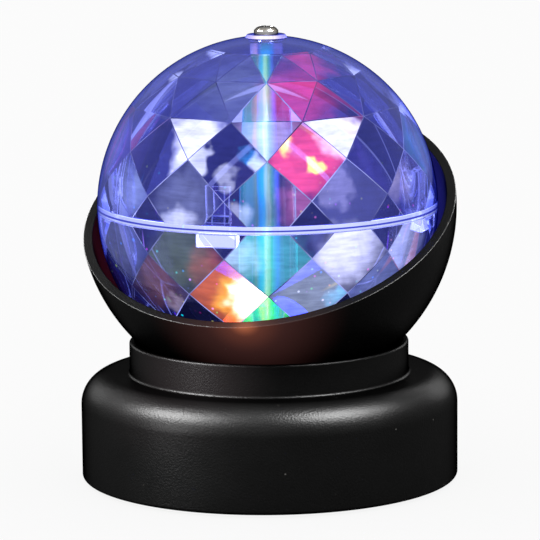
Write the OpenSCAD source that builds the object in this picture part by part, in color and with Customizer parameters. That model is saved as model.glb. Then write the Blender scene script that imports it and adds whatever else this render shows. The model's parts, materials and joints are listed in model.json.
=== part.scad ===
// Disco light: a clear faceted globe that turns in a slanted black bowl, on a round battery base.
// +Z is up, -Y is the side that the bowl opens to, and the origin is the table under the globe's axis.

/* [Globe] */
// Outer diameter of the clear globe
globe_d = 112.4; // [104:0.2:120]
// Wall of the globe at the facet corners
globe_wall = 2.4; // [2:0.1:3.4]
// Facets in one ring of the globe
facets_around = 12; // [10:2:14]
// Latitude of the first ring of facet corners, in degrees
corner_lat_1 = 9.7; // [9:0.1:10.4]
// Latitude of the second ring of facet corners, in degrees
corner_lat_2 = 23.2; // [22.5:0.1:24]
// Latitude of the crown's lower ring of corners, in degrees
crown_lat_1 = 53.8; // [50:0.1:57]
// Latitude of the crown's upper ring of corners, in degrees
crown_lat_2 = 69; // [66:0.5:72]
// Angle at which the globe is parked, in degrees
globe_turn = 18.2; // [0:0.2:30]
// Height of each dome's flange at the seam
flange_h = 1.2; // [0.8:0.1:2]
// Width of the flanges, inwards from the facet corners
flange_w = 2.6; // [2:0.1:4]
// Clips that hold the two domes together
clip_count = 4; // [3:1:6]
// Angle of the first clip from the parked globe's front, in degrees
clip_turn = -18; // [-30:1:30]
// Width of a clip's tongue
tongue_w = 8.2; // [6:0.2:10]
// Height of a clip's tongue above the seam
tongue_h = 13.6; // [8:0.2:16]
// Thickness of a clip's tongue
tongue_t = 1.6; // [1.2:0.1:2.2]
// Width of the block that carries a tongue
block_w = 13; // [10:0.5:16]
// Height of the block below the seam
block_h = 5.6; // [4:0.2:8]
// Diameter of the clear post on the axis
post_d = 8.4; // [7:0.1:10]
// Wall of the socket under the crown that holds the post
boss_wall = 1.1; // [1:0.1:2]
// Height of the raised pad under the top screw
pad_h = 0.6; // [0.4:0.1:1.2]
// Radius of the raised pad
pad_r = 7.2; // [6:0.1:9]
// Diameter of the top screw's head
top_head_d = 8; // [6:0.2:9]
// Height of the top screw's head
top_head_h = 2.9; // [2:0.1:3.4]

/* [Bowl] */
// Gap between the globe and the bowl
globe_gap = 2.9; // [2:0.1:5]
// Wall of the bowl
bowl_wall = 3.2; // [2.4:0.1:4]
// Floor of the bowl
bowl_floor = 2.6; // [2:0.1:4]
// Slant of the bowl's rim, in degrees
rim_tilt = 28; // [15:1:35]
// Depth of the rim's plane below the globe's centre
rim_drop = 2.2; // [0:0.1:5]

/* [Base] */
// How far the base stands out past the bowl
base_overhang = 0.2; // [0:0.1:8]
// Height of the base's top above the table
base_h = 35.6; // [33:0.1:42]
// Radius of the rounded shoulder
shoulder_r = 10; // [6:0.5:12]
// Rounding of the lower edge
edge_r = 1.2; // [0.8:0.1:2]
// Wall of the base's shell
shell_wall = 2.4; // [2:0.1:3]
// Height of the neck ring above the base's top
neck_h = 10.8; // [8:0.2:13]
// Wall of the neck ring
neck_wall = 1.9; // [1.4:0.1:3]
// Gap between the neck ring and the bowl
neck_gap = 0.9; // [0.5:0.1:2]
// Height of the rubber feet
foot_h = 2; // [1.5:0.1:4]
// Diameter of a rubber foot
foot_d = 10; // [8:0.5:11]
// Thickness of the base plate
plate_t = 2.4; // [2.2:0.1:3]

/* [Gear train] */
// Gear module
gear_m = 0.6; // [0.5:0.02:0.6]
// Teeth on a pinion
pinion_teeth = 12; // [12:1:14]
// Teeth on a wheel
wheel_teeth = 36; // [32:1:40]
// Width of a gear's face
gear_w = 2.5; // [2:0.1:3]
// Diameter of the steel shaft that carries the globe
shaft_d = 3; // [2.5:0.1:3.4]
// Diameter of the motor's can
motor_d = 20; // [18:0.5:20.5]
// Length of the motor with its end cap
motor_l = 25; // [20:0.5:27]

/* [Lamps] */
// Diameter of a lamp's lens
led_d = 8; // [5:0.5:8.4]
// Height of a lamp
led_h = 11; // [8:0.5:12]
// Distance of the lamps from the axis
led_ring_r = 12; // [11.6:0.1:13]
// Direction of the red lamp from the front, in degrees
led_turn = -41.8; // [-60:0.2:0]

/* [Power] */
// Diameter of a battery cell
cell_d = 14.5; // [10.5:0.5:14.5]
// Length of a battery cell with its button
cell_l = 50.5; // [44.5:0.5:50.5]
// Battery cells side by side
cell_count = 3; // [2:1:3]
// Height of the switch's middle above the table
switch_z = 17; // [16:0.5:18]
// Width of the switch's rocker
rocker_w = 8; // [6:0.5:9]
// Height of the switch's rocker
rocker_h = 12.4; // [10:0.2:12.6]
// Travel of the rocker, in degrees
rocker_travel = 14; // [8:1:16]

/* [Hidden] */
$fn = 96;
// Overlap of pieces that are joined, and overshoot of cuts
eps = 0.01;
over = 1;
// Clearance of a shaft in its bearing, of a screw or pin in its hole, and of a moulding in its neighbour
run_fit = 0.05;
pin_fit = 0.1;
mould_fit = 0.4;

// Screws: shank and head radii, head height, slot width
screw_r = 1.25;
screw_head_r = 2.4;
screw_head_h = 1.6;
screw_slot = 0.7;
screw_bite = 2.4;
small_screw_r = 0.9;
small_head_r = 1.7;
small_head_h = 0.8;
small_screw_bite = 3.5;

// Lamps and their board
board_t = 1.6;
board_margin = 2.9;
led_flange_lip = 0.6;
led_flange_h = 1;
led_flange_r = led_d / 2 + led_flange_lip;
board_r = led_ring_r + led_flange_r + board_margin;
peg_r = 1.2;
peg_h = board_t + 0.6;
peg_ring_r = board_r - 3;
peg_angles = [20, 160];

// Gears: pitch radii, tooth form and the three axes, which stand on an equal-sided triangle
wheel_r = gear_m * wheel_teeth / 2;
pinion_r = gear_m * pinion_teeth / 2;
gear_dist = wheel_r + pinion_r;
pressure_angle = 25;
backlash = 0.12;
addendum = gear_m;
dedendum = 1.25 * gear_m;
idler_angle = 30;
motor_angle = 90;
idler_xy = gear_dist * [cos(idler_angle), sin(idler_angle)];
motor_xy = gear_dist * [cos(motor_angle), sin(motor_angle)];
to_motor = motor_xy - idler_xy;
to_motor_angle = atan2(to_motor[1], to_motor[0]);
idler_pin_d = 2;
motor_shaft_d = 2;

// The gear plate is as wide as the gears or the lamps need, and has three pillars
gear_edge = 0.35;
pillar_r = 2.6;
pillar_edge = 0.6;
pillar_inset = pillar_r + pillar_edge;
gear_plate_r = max(gear_dist + wheel_r + addendum + gear_edge, board_r + 1 + screw_head_r + pillar_inset);
pillar_ring_r = gear_plate_r - pillar_inset;
pillar_angles = [for (a = [100, 190, 315]) idler_angle + a];

// The bowl's floor just holds the gear plate, and that sets how high the globe stands
globe_r = globe_d / 2;
corner_r = globe_r - globe_wall;
bowl_in_r = globe_r + globe_gap;
bowl_r = bowl_in_r + bowl_wall;
floor_r = gear_plate_r + mould_fit;
globe_rise = sqrt(bowl_in_r * bowl_in_r - floor_r * floor_r) + bowl_floor;
centre_z = base_h + globe_rise;

// Base, its plate, the columns for its screws, and its feet
base_r = bowl_r + base_overhang;
skirt_z = foot_h / 2;
cavity_r = base_r - shell_wall;
ceiling_z = base_h - shell_wall;
neck_z = base_h + neck_h;
neck_in_r = sqrt(bowl_r * bowl_r - pow(centre_z - neck_z, 2)) + neck_gap;
neck_r = neck_in_r + neck_wall;
plate_z = foot_h;
plate_top = plate_z + plate_t;
plate_r = cavity_r - mould_fit;
column_r = 3.5;
column_ring_r = cavity_r - column_r - 4.6;
rear_column_angle = 30;
base_screw_seat = 1.2;
base_screw_l = 9;
foot_ring_r = plate_r - foot_d / 2 - 2.7;
foot_angles = [62, 118, 198, 342];

// Gear unit, from the bowl's floor upwards
gear_gap = 0.4;
gear_plate_z = base_h + bowl_floor;
gear_plate_t = 1.8;
gear_plate_top = gear_plate_z + gear_plate_t;
low_gear_z = gear_plate_top + gear_gap;
high_gear_z = low_gear_z + gear_w + gear_gap;
deck_z = high_gear_z + gear_w + gear_gap + 0.2;
deck_t = 2;
deck_top = deck_z + deck_t;
deck_skirt_t = 1.6;
deck_skirt_z = gear_plate_z + 2;
deck_r = floor_r + deck_skirt_t;
deck_screw_bite = 2.8;
bearing_depth = 1.2;
bush_wall = 1.5;
bush_r = shaft_d / 2 + bush_wall;
bush_flange_r = bush_r + 1;
bush_flange_t = 0.8;
bush_top = deck_top + 1.8;
board_top = deck_top + board_t;
board_hole_r = bush_flange_r + 0.3;

// Motor, which hangs from the gear plate through the bowl's floor into the base
motor_z = gear_plate_z - motor_l;
motor_cap_h = 4;
motor_cap_inset = 0.5;
motor_boss_r = 3;
motor_boss_h = gear_plate_t - gear_gap;
motor_shaft_z = motor_z + motor_cap_h + 1;
motor_screw_offset = 6.8;
motor_tab = [0.8, 3, 2];
motor_tab_offset = 5;

// Globe, with heights measured from its centre
facet_step = 360 / facets_around;
opening_z = board_top + 0.5 - centre_z;
boss_r = post_d / 2 + pin_fit + boss_wall;
boss_z = corner_r * sin(crown_lat_2) - 2.2;
socket_depth = 3.6;
hub_r = led_ring_r - led_flange_r - 1;
hub_h = 5;
post_z = bush_top + gear_gap;
post_top = centre_z + boss_z + socket_depth - 0.2;
shaft_grip = 15;
shaft_top = post_z + shaft_grip;
shaft_bottom = gear_plate_top - bearing_depth + 0.2;
top_screw_r = 1.5;
top_screw_l = 14;
top_screw_slot = 1.1;
top_screw_hole = 11;
pad_slope = 1;
tongue_r = corner_r - flange_w - 2 * mould_fit;
hook_out = 3 * mould_fit;
hook_z = flange_h + 2 * mould_fit;
hook_h = 2;

// Battery bay under the front of the base, clear of the motor, with its hinged door behind a relief
cell_gap = 0.5;
cell_pitch = cell_d + cell_gap;
cell_button_d = 5.5;
cell_button_l = 1;
contact_t = 0.5;
contact_reach = 2.2;
contact_size = [9, 10];
contact_cone = [3.6, 2.2];
contact_fit = 0.05;
bay_half_l = cell_l / 2 + contact_reach + contact_t + 0.25;
bay_w = cell_count * cell_pitch + 0.6;
bay_wall = 1.8;
bay_side = bay_half_l + bay_wall;
bay_edge = 0.3;
bay_back_y = motor_xy[1] - motor_d / 2 - 3.6 - bay_wall;
bay_front_y = bay_back_y - bay_w;
door_t = plate_t - 0.6;
door_lap = 1.4;
door_half_l = bay_half_l + door_lap - mould_fit;
door_front_y = bay_front_y - door_lap + mould_fit;
finger_notch = [18, 4, 0.8];
bay_z = plate_z + door_t + pin_fit;
bay_top = bay_z + cell_d + 0.4;
cell_z = bay_z + cell_d / 2 + 0.15;
tail_z = cell_z + 3.2;
hinge_y = bay_back_y + 0.2;
hinge_z = plate_z + plate_t / 2;
hinge_pin_r = 0.7;
hinge_pin_l = 2;
hinge_pin_gap = 0.3;
hinge_barrel_r = plate_t / 2 - pin_fit;
hinge_relief = hinge_z - plate_z + 0.6;

// The front columns stand beside the battery bay
column_gap = 3.3;
front_column_angle = acos((bay_side + column_gap + column_r) / column_ring_r);
column_angles = [rear_column_angle, 180 - rear_column_angle, 180 + front_column_angle, -front_column_angle];

// Rocker switch in a flat pocket at the back of the base
switch_recess = 2.5;
switch_face_y = base_r - switch_recess;
switch_wall = 1.2;
switch_depth = 11;
switch_side_gap = 0.3;
switch_end_gap = 0.7;
switch_pocket_w = rocker_w + 2 * switch_side_gap;
switch_pocket_h = rocker_h + 2 * switch_end_gap;
switch_body_w = switch_pocket_w + 2 * switch_wall;
switch_body_h = switch_pocket_h + 2 * switch_wall;
bezel_t = 1.2;
bezel_lip = 1.3;
bezel_margin = 0.5;
recess_wall = 1;
rocker_out = 2.1;
rocker_dish = 0.8;
rocker_shoulder = 0.4;
rocker_back = 2.2;
rocker_room = 3.6;
rocker_y = switch_face_y + bezel_t - rocker_out + 0.35;
rocker_pin_r = 1.1;
rocker_pin_l = 0.8;
rocker_pin_gap = 0.2;
terminal_size = [4.8, 6, 0.8];
terminal_offset = 4;
terminal_y = switch_face_y - switch_depth - terminal_size[1];

// Driver board on two posts behind the batteries, beside a rear column
driver_size = [20, 16];
driver_gap = 1.5;
driver_xy = [column_ring_r * cos(rear_column_angle) - column_r - driver_gap - driver_size[0] / 2, 22];
driver_post_h = 6;
driver_z = plate_top + driver_post_h;
driver_top = driver_z + board_t;
driver_post_r = 2.2;
driver_post_dx = 7;
chip_at = [-8, -3];
chip_size = [8, 6, 2];
capacitor_at = [4.5, 3];
capacitor_r = 2.5;
capacitor_h = 7;
plug_at = [2, -5.5];
plug_size = [6, 3, 3];

// Leads: radii, sides, longest step in radii, and the points that each one passes
lead_r = 0.65;
lamp_lead_r = 1.5;
lead_sides = 8;
lead_step = 6;
lead_hole_xy = [0, 2.5 - board_r];
lead_hole_r = 2.6;
terminal_run = 3;
motor_routes = [
    [[motor_tab_offset, motor_xy[1], motor_z - motor_tab[2]], [motor_tab_offset, motor_xy[1], 8.5],
        [10, 15, 6.8], [17, 16.5, 6.6], on_driver(-7.5, -5, 7.8), on_driver(-7.5, -5, driver_z)],
    [[-motor_tab_offset, motor_xy[1], motor_z - motor_tab[2]], [-motor_tab_offset, motor_xy[1], 8.5],
        [-1, 12, 6.6], [8, 11, 6.2], [18, 12.5, 6.4], on_driver(-4, -6, 7.6), on_driver(-4, -6, driver_z)]];
battery_routes = [
    [[bay_half_l - contact_fit, cell_y(cell_count - 1), tail_z],
        [bay_side + 3, cell_y(cell_count - 1), tail_z], [bay_side + 7, -5, 15], [38, 6, 16],
        on_driver(8.5, -4, 17), on_driver(8.5, 3, 17), on_driver(8.5, 5.5, 15),
        on_driver(8.5, 5.5, driver_top)],
    [[contact_fit - bay_half_l, cell_y(0), tail_z], [-bay_side - 1.7, cell_y(0), tail_z],
        [-bay_side - 1.7, -35, 14.5], [-bay_side - 3, -20, 15], [-bay_side - 3, -3, 15], [-29, 15, 15],
        [-18, 31, 14], [-6, terminal_y - 6.5, 13.2],
        [0, terminal_y - terminal_run, switch_z - terminal_offset],
        [0, terminal_y, switch_z - terminal_offset]]];
switch_routes = [
    [[0, terminal_y, switch_z + terminal_offset], [0, terminal_y - terminal_run, switch_z + terminal_offset],
        [5, terminal_y - 7.5, 20.5], [14, 32, 19], [24, 29, 16.5], on_driver(-4, 6.5, 14.5),
        on_driver(-4, 6.5, driver_top)]];
lamp_routes = [
    [on_driver(5, -4, driver_top + plug_size[2]), on_driver(5, -4, 19), [31, 12, 25],
        [20, 1, ceiling_z - 4.7], [8, -9, ceiling_z - 5.2], [1.5, -15.5, ceiling_z - 4.6],
        [lead_hole_xy[0], lead_hole_xy[1], ceiling_z - 1.7],
        [lead_hole_xy[0], lead_hole_xy[1], gear_plate_top], [lead_hole_xy[0], lead_hole_xy[1], deck_top]]];

// Latitude of the ring that makes a facet flat: the chord from a corner on ring a through the middle of
// two side corners on ring b meets the sphere again there
function flat_lat(a, b) =
    let (from = [cos(a), sin(a)],
        way = [cos(b) * cos(facet_step / 2), sin(b)] - from,
        reach = -2 * (from * way) / (way * way),
        hit = from + reach * way)
    atan2(hit[1], hit[0]);

// Corner latitudes from below the seam to the crown; odd rings are turned by half a facet
corner_lats = [flat_lat(corner_lat_2, corner_lat_1), corner_lat_1, corner_lat_2,
    flat_lat(corner_lat_1, corner_lat_2), crown_lat_1, crown_lat_2];

function ring_point(ring, i) =
    let (turn = (i + ring % 2 / 2) * facet_step - 90, lat = corner_lats[ring])
    corner_r * [cos(lat) * cos(turn), cos(lat) * sin(turn), sin(lat)];

// Involute of a base circle: polar angle in degrees at radius r
function involute(base, r) =
    r <= base ? 0 : sqrt(pow(r / base, 2) - 1) * 180 / PI - acos(base / r);

// Half the angle of a tooth at radius r
function half_tooth(teeth, r) =
    let (pitch = gear_m * teeth / 2, base = pitch * cos(pressure_angle))
    90 / teeth - backlash / 2 / pitch * 180 / PI + involute(base, pitch) - involute(base, r);

// Radii at which a tooth's flank is drawn, from root to tip
function flank_radii(teeth) =
    let (pitch = gear_m * teeth / 2, base = max(pitch * cos(pressure_angle), pitch - dedendum + eps))
    [pitch - dedendum, base, (base + pitch) / 2, pitch, pitch + addendum / 2, pitch + addendum];

function gear_points(teeth) =
    let (radii = flank_radii(teeth), last = len(radii) - 1)
    [for (i = [0:teeth - 1], side = [-1, 1], k = [0:last])
        let (r = radii[side < 0 ? k : last - k], a = i * 360 / teeth + side * half_tooth(teeth, r))
        r * [cos(a), sin(a)]];

function cell_y(i) = bay_front_y + 0.3 + (i + 0.5) * cell_pitch;

// A point above or below the driver board, measured from the board's middle
function on_driver(dx, dy, z) = [driver_xy[0] + dx, driver_xy[1] + dy, z];

function unit(v) = v / norm(v);

// A point on the smooth curve from b to c, with neighbours a and d
function curve_point(a, b, c, d, t) =
    (2 * b + (c - a) * t + (2 * a - 5 * b + 4 * c - d) * t * t + (3 * b - a - 3 * c + d) * t * t * t) / 2;

// A lead's route, in steps of about the given length
function route_points(p, step) =
    let (last = len(p) - 1)
    concat([for (i = [0:last - 1])
        let (a = i == 0 ? 2 * p[0] - p[1] : p[i - 1], d = i == last - 1 ? 2 * p[last] - p[i] : p[i + 2],
            steps = max(1, round(norm(p[i + 1] - p[i]) / step)))
        for (s = [0:steps - 1]) curve_point(a, p[i], p[i + 1], d, s / steps)], [p[last]]);

// The part of v that is square to direction way, at unit length
function square_to(v, way) = unit(v - (v * way) * way);

// A gear with one tooth centred on direction turn
module gear(teeth, bore_r, turn) {
    rotate(turn) linear_extrude(gear_w) difference() {
        polygon(gear_points(teeth));
        circle(bore_r);
    }
}

// A round lead along its route, as one tube with square ends
module lead(route, radius) {
    path = route_points(route, lead_step * radius);
    last = len(path) - 1;
    ways = [for (i = [0:last])
        unit(i == 0 ? route[1] - route[0] : i == last ? route[len(route) - 1] - route[len(route) - 2]
            : path[i + 1] - path[i - 1])];
    first_side = square_to(abs(ways[0][2]) > 0.7 ? [1, 0, 0] : [0, 0, 1], ways[0]);
    sides = [for (i = 0, s = first_side; i <= last; i = i + 1, s = square_to(s, ways[min(i, last)])) s];
    points = [for (i = [0:last], k = [0:lead_sides - 1])
        let (a = k * 360 / lead_sides)
        path[i] + radius * (cos(a) * sides[i] + sin(a) * cross(ways[i], sides[i]))];
    walls = [for (i = [0:last - 1], k = [0:lead_sides - 1])
        let (low = i * lead_sides, high = low + lead_sides, next = (k + 1) % lead_sides)
        each [[low + k, high + k, low + next], [high + k, high + next, low + next]]];
    start = [for (k = [0:lead_sides - 1]) k];
    end = [for (k = [0:lead_sides - 1]) last * lead_sides + lead_sides - 1 - k];
    polyhedron(points, concat(walls, [start, end]));
}

module at_ring(radius, angles) {
    for (a = angles) rotate(a) translate([radius, 0, 0]) children();
}

module at_point(xy, z) {
    translate([xy[0], xy[1], z]) children();
}

// A pan-head screw along +Z, with its head's seat at z = 0 and its shank below
module pan_screw(shank_r, length, head_r, head_h, slot_w) {
    rim_h = 0.45 * head_h;
    crown_h = head_h - rim_h;
    crown_r = (head_r * head_r + crown_h * crown_h) / (2 * crown_h);
    difference() {
        union() {
            translate([0, 0, -length]) cylinder(r = shank_r, h = length + eps);
            intersection() {
                cylinder(r = head_r, h = head_h + over);
                translate([0, 0, head_h - crown_r]) sphere(crown_r);
            }
        }
        for (a = [0, 90]) rotate(a) translate([-0.55 * head_r, -slot_w / 2, rim_h])
            cube([1.1 * head_r, slot_w, head_h]);
    }
}

// Faceted inside of a dome: a convex body with its corners on one sphere
module facet_core() {
    n = facets_around;
    rings = len(corner_lats);
    points = [for (ring = [0:rings - 1], i = [0:n - 1]) ring_point(ring, i)];
    bands = [for (ring = [0:rings - 2], i = [0:n - 1])
        let (low = ring * n, high = low + n, next = (i + 1) % n, odd = ring % 2,
            tip = odd ? next : i, tip_next = odd ? (i + 2) % n : next)
        each [[low + i, high + tip, low + next], [high + tip, high + tip_next, low + next]]];
    foot = [for (i = [0:n - 1]) i];
    crown = [for (i = [0:n - 1]) (rings - 1) * n + n - 1 - i];
    polyhedron(points, concat(bands, [foot, crown]));
}

// Half of the globe, above its centre, with the flange at its edge
module dome_shell() {
    difference() {
        intersection() {
            sphere(globe_r, $fn = 180);
            translate([-globe_d, -globe_d, 0]) cube(2 * globe_d);
        }
        facet_core();
    }
    difference() {
        cylinder(r = corner_r, h = flange_h);
        translate([0, 0, -over]) cylinder(r = corner_r - flange_w, h = flange_h + 2 * over);
    }
}

module upper_dome() {
    color("lavender") translate([0, 0, centre_z]) rotate(globe_turn) difference() {
        union() {
            dome_shell();
            translate([0, 0, boss_z]) cylinder(r = boss_r, h = corner_r - boss_z);
            translate([0, 0, globe_r - pad_slope])
                cylinder(r1 = pad_r, r2 = pad_r - pad_slope, h = pad_slope + pad_h);
        }
        translate([0, 0, boss_z - over]) cylinder(r = post_d / 2 + pin_fit, h = socket_depth + over);
        cylinder(r = top_screw_r + pin_fit, h = globe_d);
    }
}

// A clip: a block under the seam with a tongue that rises behind the upper dome's flange and hooks over it
module clip() {
    reach = corner_r - tongue_r;
    translate([-block_w / 2, -corner_r, -block_h]) cube([block_w, reach + tongue_t, block_h - flange_h]);
    translate([-tongue_w / 2, -tongue_r, -block_h]) cube([tongue_w, tongue_t, block_h + tongue_h]);
    translate([tongue_w / 2, -tongue_r, hook_z]) rotate([0, -90, 0]) linear_extrude(tongue_w)
        polygon([[0, -hook_out], [hook_h, eps], [0, eps]]);
}

module lower_dome() {
    color("lavender") translate([0, 0, centre_z]) rotate(globe_turn) {
        difference() {
            mirror([0, 0, 1]) dome_shell();
            translate([-globe_d, -globe_d, opening_z - globe_d]) cube([2 * globe_d, 2 * globe_d, globe_d]);
        }
        for (i = [0:clip_count - 1]) rotate(clip_turn + i * 360 / clip_count) clip();
    }
}

module centre_post() {
    color("azure") difference() {
        union() {
            translate([0, 0, post_z]) cylinder(r = hub_r, h = hub_h);
            translate([0, 0, post_z]) cylinder(d = post_d, h = post_top - post_z);
        }
        translate([0, 0, post_z - over]) cylinder(d = shaft_d, h = shaft_grip + over);
        translate([0, 0, post_top - top_screw_hole]) cylinder(r = top_screw_r, h = top_screw_hole + over);
    }
}

module top_screw() {
    color("silver") translate([0, 0, centre_z + globe_r + pad_h])
        pan_screw(top_screw_r, top_screw_l, top_head_d / 2, top_head_h, top_screw_slot);
}

module output_shaft() {
    color("silver") translate([0, 0, shaft_bottom]) cylinder(d = shaft_d, h = shaft_top - shaft_bottom);
}

module output_gear() {
    color("white") translate([0, 0, high_gear_z]) gear(wheel_teeth, shaft_d / 2, idler_angle);
}

module idler_gear() {
    bore_r = idler_pin_d / 2 + run_fit;
    color("white") at_point(idler_xy, 0) {
        translate([0, 0, low_gear_z]) gear(wheel_teeth, bore_r, to_motor_angle);
        translate([0, 0, low_gear_z + gear_w - eps]) difference() {
            cylinder(r = pinion_r - dedendum, h = gear_gap + 2 * eps);
            translate([0, 0, -over]) cylinder(r = bore_r, h = gear_gap + 3 * over);
        }
        translate([0, 0, high_gear_z]) gear(pinion_teeth, bore_r, idler_angle + 180 + 180 / pinion_teeth);
    }
}

module idler_pin() {
    color("silver") at_point(idler_xy, gear_plate_top - bearing_depth)
        cylinder(d = idler_pin_d, h = deck_z - gear_plate_top + 2 * bearing_depth);
}

module motor_pinion() {
    color("gold") at_point(motor_xy, low_gear_z)
        gear(pinion_teeth, motor_shaft_d / 2, to_motor_angle + 180 + 180 / pinion_teeth);
}

module motor_shaft() {
    color("silver") at_point(motor_xy, motor_shaft_z)
        cylinder(d = motor_shaft_d, h = low_gear_z + gear_w - motor_shaft_z);
}

module at_motor_screws(z) {
    for (side = [-1, 1]) at_point(motor_xy + [side * motor_screw_offset, 0], z) children();
}

module motor_can() {
    color("silver") difference() {
        union() {
            at_point(motor_xy, motor_z + motor_cap_h) cylinder(d = motor_d, h = motor_l - motor_cap_h);
            at_point(motor_xy, gear_plate_z - eps) cylinder(r = motor_boss_r, h = motor_boss_h);
        }
        at_point(motor_xy, motor_shaft_z - 0.2) cylinder(r = motor_shaft_d / 2 + run_fit, h = motor_l);
        at_motor_screws(gear_plate_z - small_screw_bite - 0.5)
            cylinder(r = small_screw_r + pin_fit, h = small_screw_bite + over);
    }
}

module motor_cap() {
    color("ivory") at_point(motor_xy, motor_z) {
        cylinder(d = motor_d - 2 * motor_cap_inset, h = motor_cap_h);
        for (side = [-1, 1])
            translate([side * motor_tab_offset - motor_tab[0] / 2, -motor_tab[1] / 2, -motor_tab[2]])
                cube(motor_tab + [0, 0, eps]);
    }
}

module motor_screws() {
    color("silver") {
        at_motor_screws(gear_plate_z - small_screw_bite)
            cylinder(r = small_screw_r, h = small_screw_bite + gear_plate_t - small_head_h);
        at_motor_screws(gear_plate_top - small_head_h - pin_fit)
            cylinder(r1 = small_screw_r, r2 = small_head_r, h = small_head_h);
    }
}

module motor_leads() {
    color("firebrick") for (route = motor_routes) lead(route, lead_r);
}

module clamp_posts(radius, z, height) {
    at_ring(pillar_ring_r, pillar_angles) translate([0, 0, z]) cylinder(r = radius, h = height);
}

module gear_plate() {
    through = gear_plate_t + 2 * over;
    color("white") difference() {
        union() {
            translate([0, 0, gear_plate_z]) cylinder(r = gear_plate_r, h = gear_plate_t);
            clamp_posts(pillar_r, gear_plate_z, deck_z - gear_plate_z);
        }
        clamp_posts(screw_r + pin_fit, gear_plate_z - over, deck_z - gear_plate_z + 2 * over);
        translate([0, 0, gear_plate_top - bearing_depth])
            cylinder(r = shaft_d / 2 + run_fit, h = bearing_depth + over);
        at_point(idler_xy, gear_plate_top - bearing_depth)
            cylinder(d = idler_pin_d, h = bearing_depth + over);
        at_point(motor_xy, gear_plate_z - over) cylinder(r = motor_boss_r + pin_fit, h = through);
        at_motor_screws(gear_plate_z - over) cylinder(r = small_screw_r + pin_fit, h = through);
        at_motor_screws(gear_plate_top - small_head_h - pin_fit)
            cylinder(r1 = small_screw_r + pin_fit, r2 = small_head_r + 2 * pin_fit,
                h = small_head_h + 2 * pin_fit);
        at_point(lead_hole_xy, gear_plate_z - over) cylinder(r = lead_hole_r, h = through);
    }
}

module clamp_screws() {
    clamped = shell_wall + bowl_floor + gear_plate_t;
    color("silver") at_ring(pillar_ring_r, pillar_angles) translate([0, 0, ceiling_z]) mirror([0, 0, 1])
        pan_screw(screw_r, clamped + screw_bite, screw_head_r, screw_head_h, screw_slot);
}

module light_deck() {
    color("gainsboro") difference() {
        union() {
            translate([0, 0, deck_z]) cylinder(r = deck_r, h = deck_t);
            difference() {
                translate([0, 0, deck_skirt_z]) cylinder(r = deck_r, h = deck_z - deck_skirt_z + eps);
                translate([0, 0, deck_skirt_z - over])
                    cylinder(r = floor_r, h = deck_z - deck_skirt_z + over);
            }
            at_ring(peg_ring_r, peg_angles) translate([0, 0, deck_top - eps]) cylinder(r = peg_r, h = peg_h);
        }
        translate([0, 0, deck_z - over]) cylinder(r = bush_r, h = deck_t + 2 * over);
        at_point(idler_xy, deck_z - over) cylinder(d = idler_pin_d, h = over + bearing_depth);
        clamp_posts(screw_r + pin_fit, deck_z - over, deck_t + 2 * over);
        at_point(lead_hole_xy, deck_z - over) cylinder(r = lead_hole_r, h = deck_t + 2 * over);
    }
}

module deck_screws() {
    color("silver") at_ring(pillar_ring_r, pillar_angles) translate([0, 0, deck_top])
        pan_screw(screw_r, deck_t + deck_screw_bite, screw_head_r, screw_head_h, screw_slot);
}

module shaft_bush() {
    color("peru") difference() {
        union() {
            translate([0, 0, deck_z]) cylinder(r = bush_r, h = bush_top - deck_z);
            translate([0, 0, deck_top]) cylinder(r = bush_flange_r, h = bush_flange_t);
        }
        translate([0, 0, deck_z - over])
            cylinder(r = shaft_d / 2 + run_fit, h = bush_top - deck_z + 2 * over);
    }
}

module led_board() {
    color("whitesmoke") translate([0, 0, deck_top]) difference() {
        cylinder(r = board_r, h = board_t);
        translate([0, 0, -over]) cylinder(r = board_hole_r, h = board_t + 2 * over);
        at_ring(peg_ring_r, peg_angles) translate([0, 0, -over])
            cylinder(r = peg_r + pin_fit, h = board_t + 2 * over);
    }
}

// Lamp number 0, 1 or 2 on the ring: a flange, a body and a round nose
module led(number) {
    nose_r = led_d / 2;
    rotate(led_turn + number * 120) translate([0, -led_ring_r, board_top]) {
        cylinder(r = led_flange_r, h = led_flange_h);
        cylinder(r = nose_r, h = led_h - nose_r);
        intersection() {
            translate([0, 0, led_h - nose_r]) sphere(nose_r);
            translate([-led_d, -led_d, led_h - nose_r - eps]) cube(2 * led_d);
        }
    }
}

module red_led() { color("red") led(0); }
module blue_led() { color("blue") led(1); }
module green_led() { color("lime") led(2); }

module lamp_lead() {
    color("dimgray") for (route = lamp_routes) lead(route, lamp_lead_r);
}

// Holes for the motor, the clamp screws and the leads, shared by the bowl's floor and the base's top
module floor_holes(z, height) {
    at_point(motor_xy, z) cylinder(d = motor_d + 2 * mould_fit, h = height);
    clamp_posts(screw_r + pin_fit, z, height);
    at_point(lead_hole_xy, z) cylinder(r = lead_hole_r, h = height);
}

module bowl() {
    color("black") difference() {
        translate([0, 0, centre_z]) difference() {
            intersection() {
                sphere(bowl_r, $fn = 180);
                translate([-2 * bowl_r, -2 * bowl_r, -globe_rise]) cube(4 * bowl_r);
            }
            intersection() {
                sphere(bowl_in_r, $fn = 180);
                translate([-2 * bowl_r, -2 * bowl_r, bowl_floor - globe_rise]) cube(4 * bowl_r);
            }
            rotate([rim_tilt, 0, 0]) translate([-2 * bowl_r, -2 * bowl_r, -rim_drop]) cube(4 * bowl_r);
        }
        floor_holes(base_h - over, bowl_floor + 2 * over);
    }
}

// Section of the base, inset from the outside, above height bottom
module base_section(inset, bottom) {
    translate([0, bottom]) square([base_r - shoulder_r, base_h - inset - bottom]);
    translate([0, bottom]) square([base_r - inset, base_h - shoulder_r - bottom]);
    translate([base_r - shoulder_r, base_h - shoulder_r]) circle(shoulder_r - inset);
}

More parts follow.
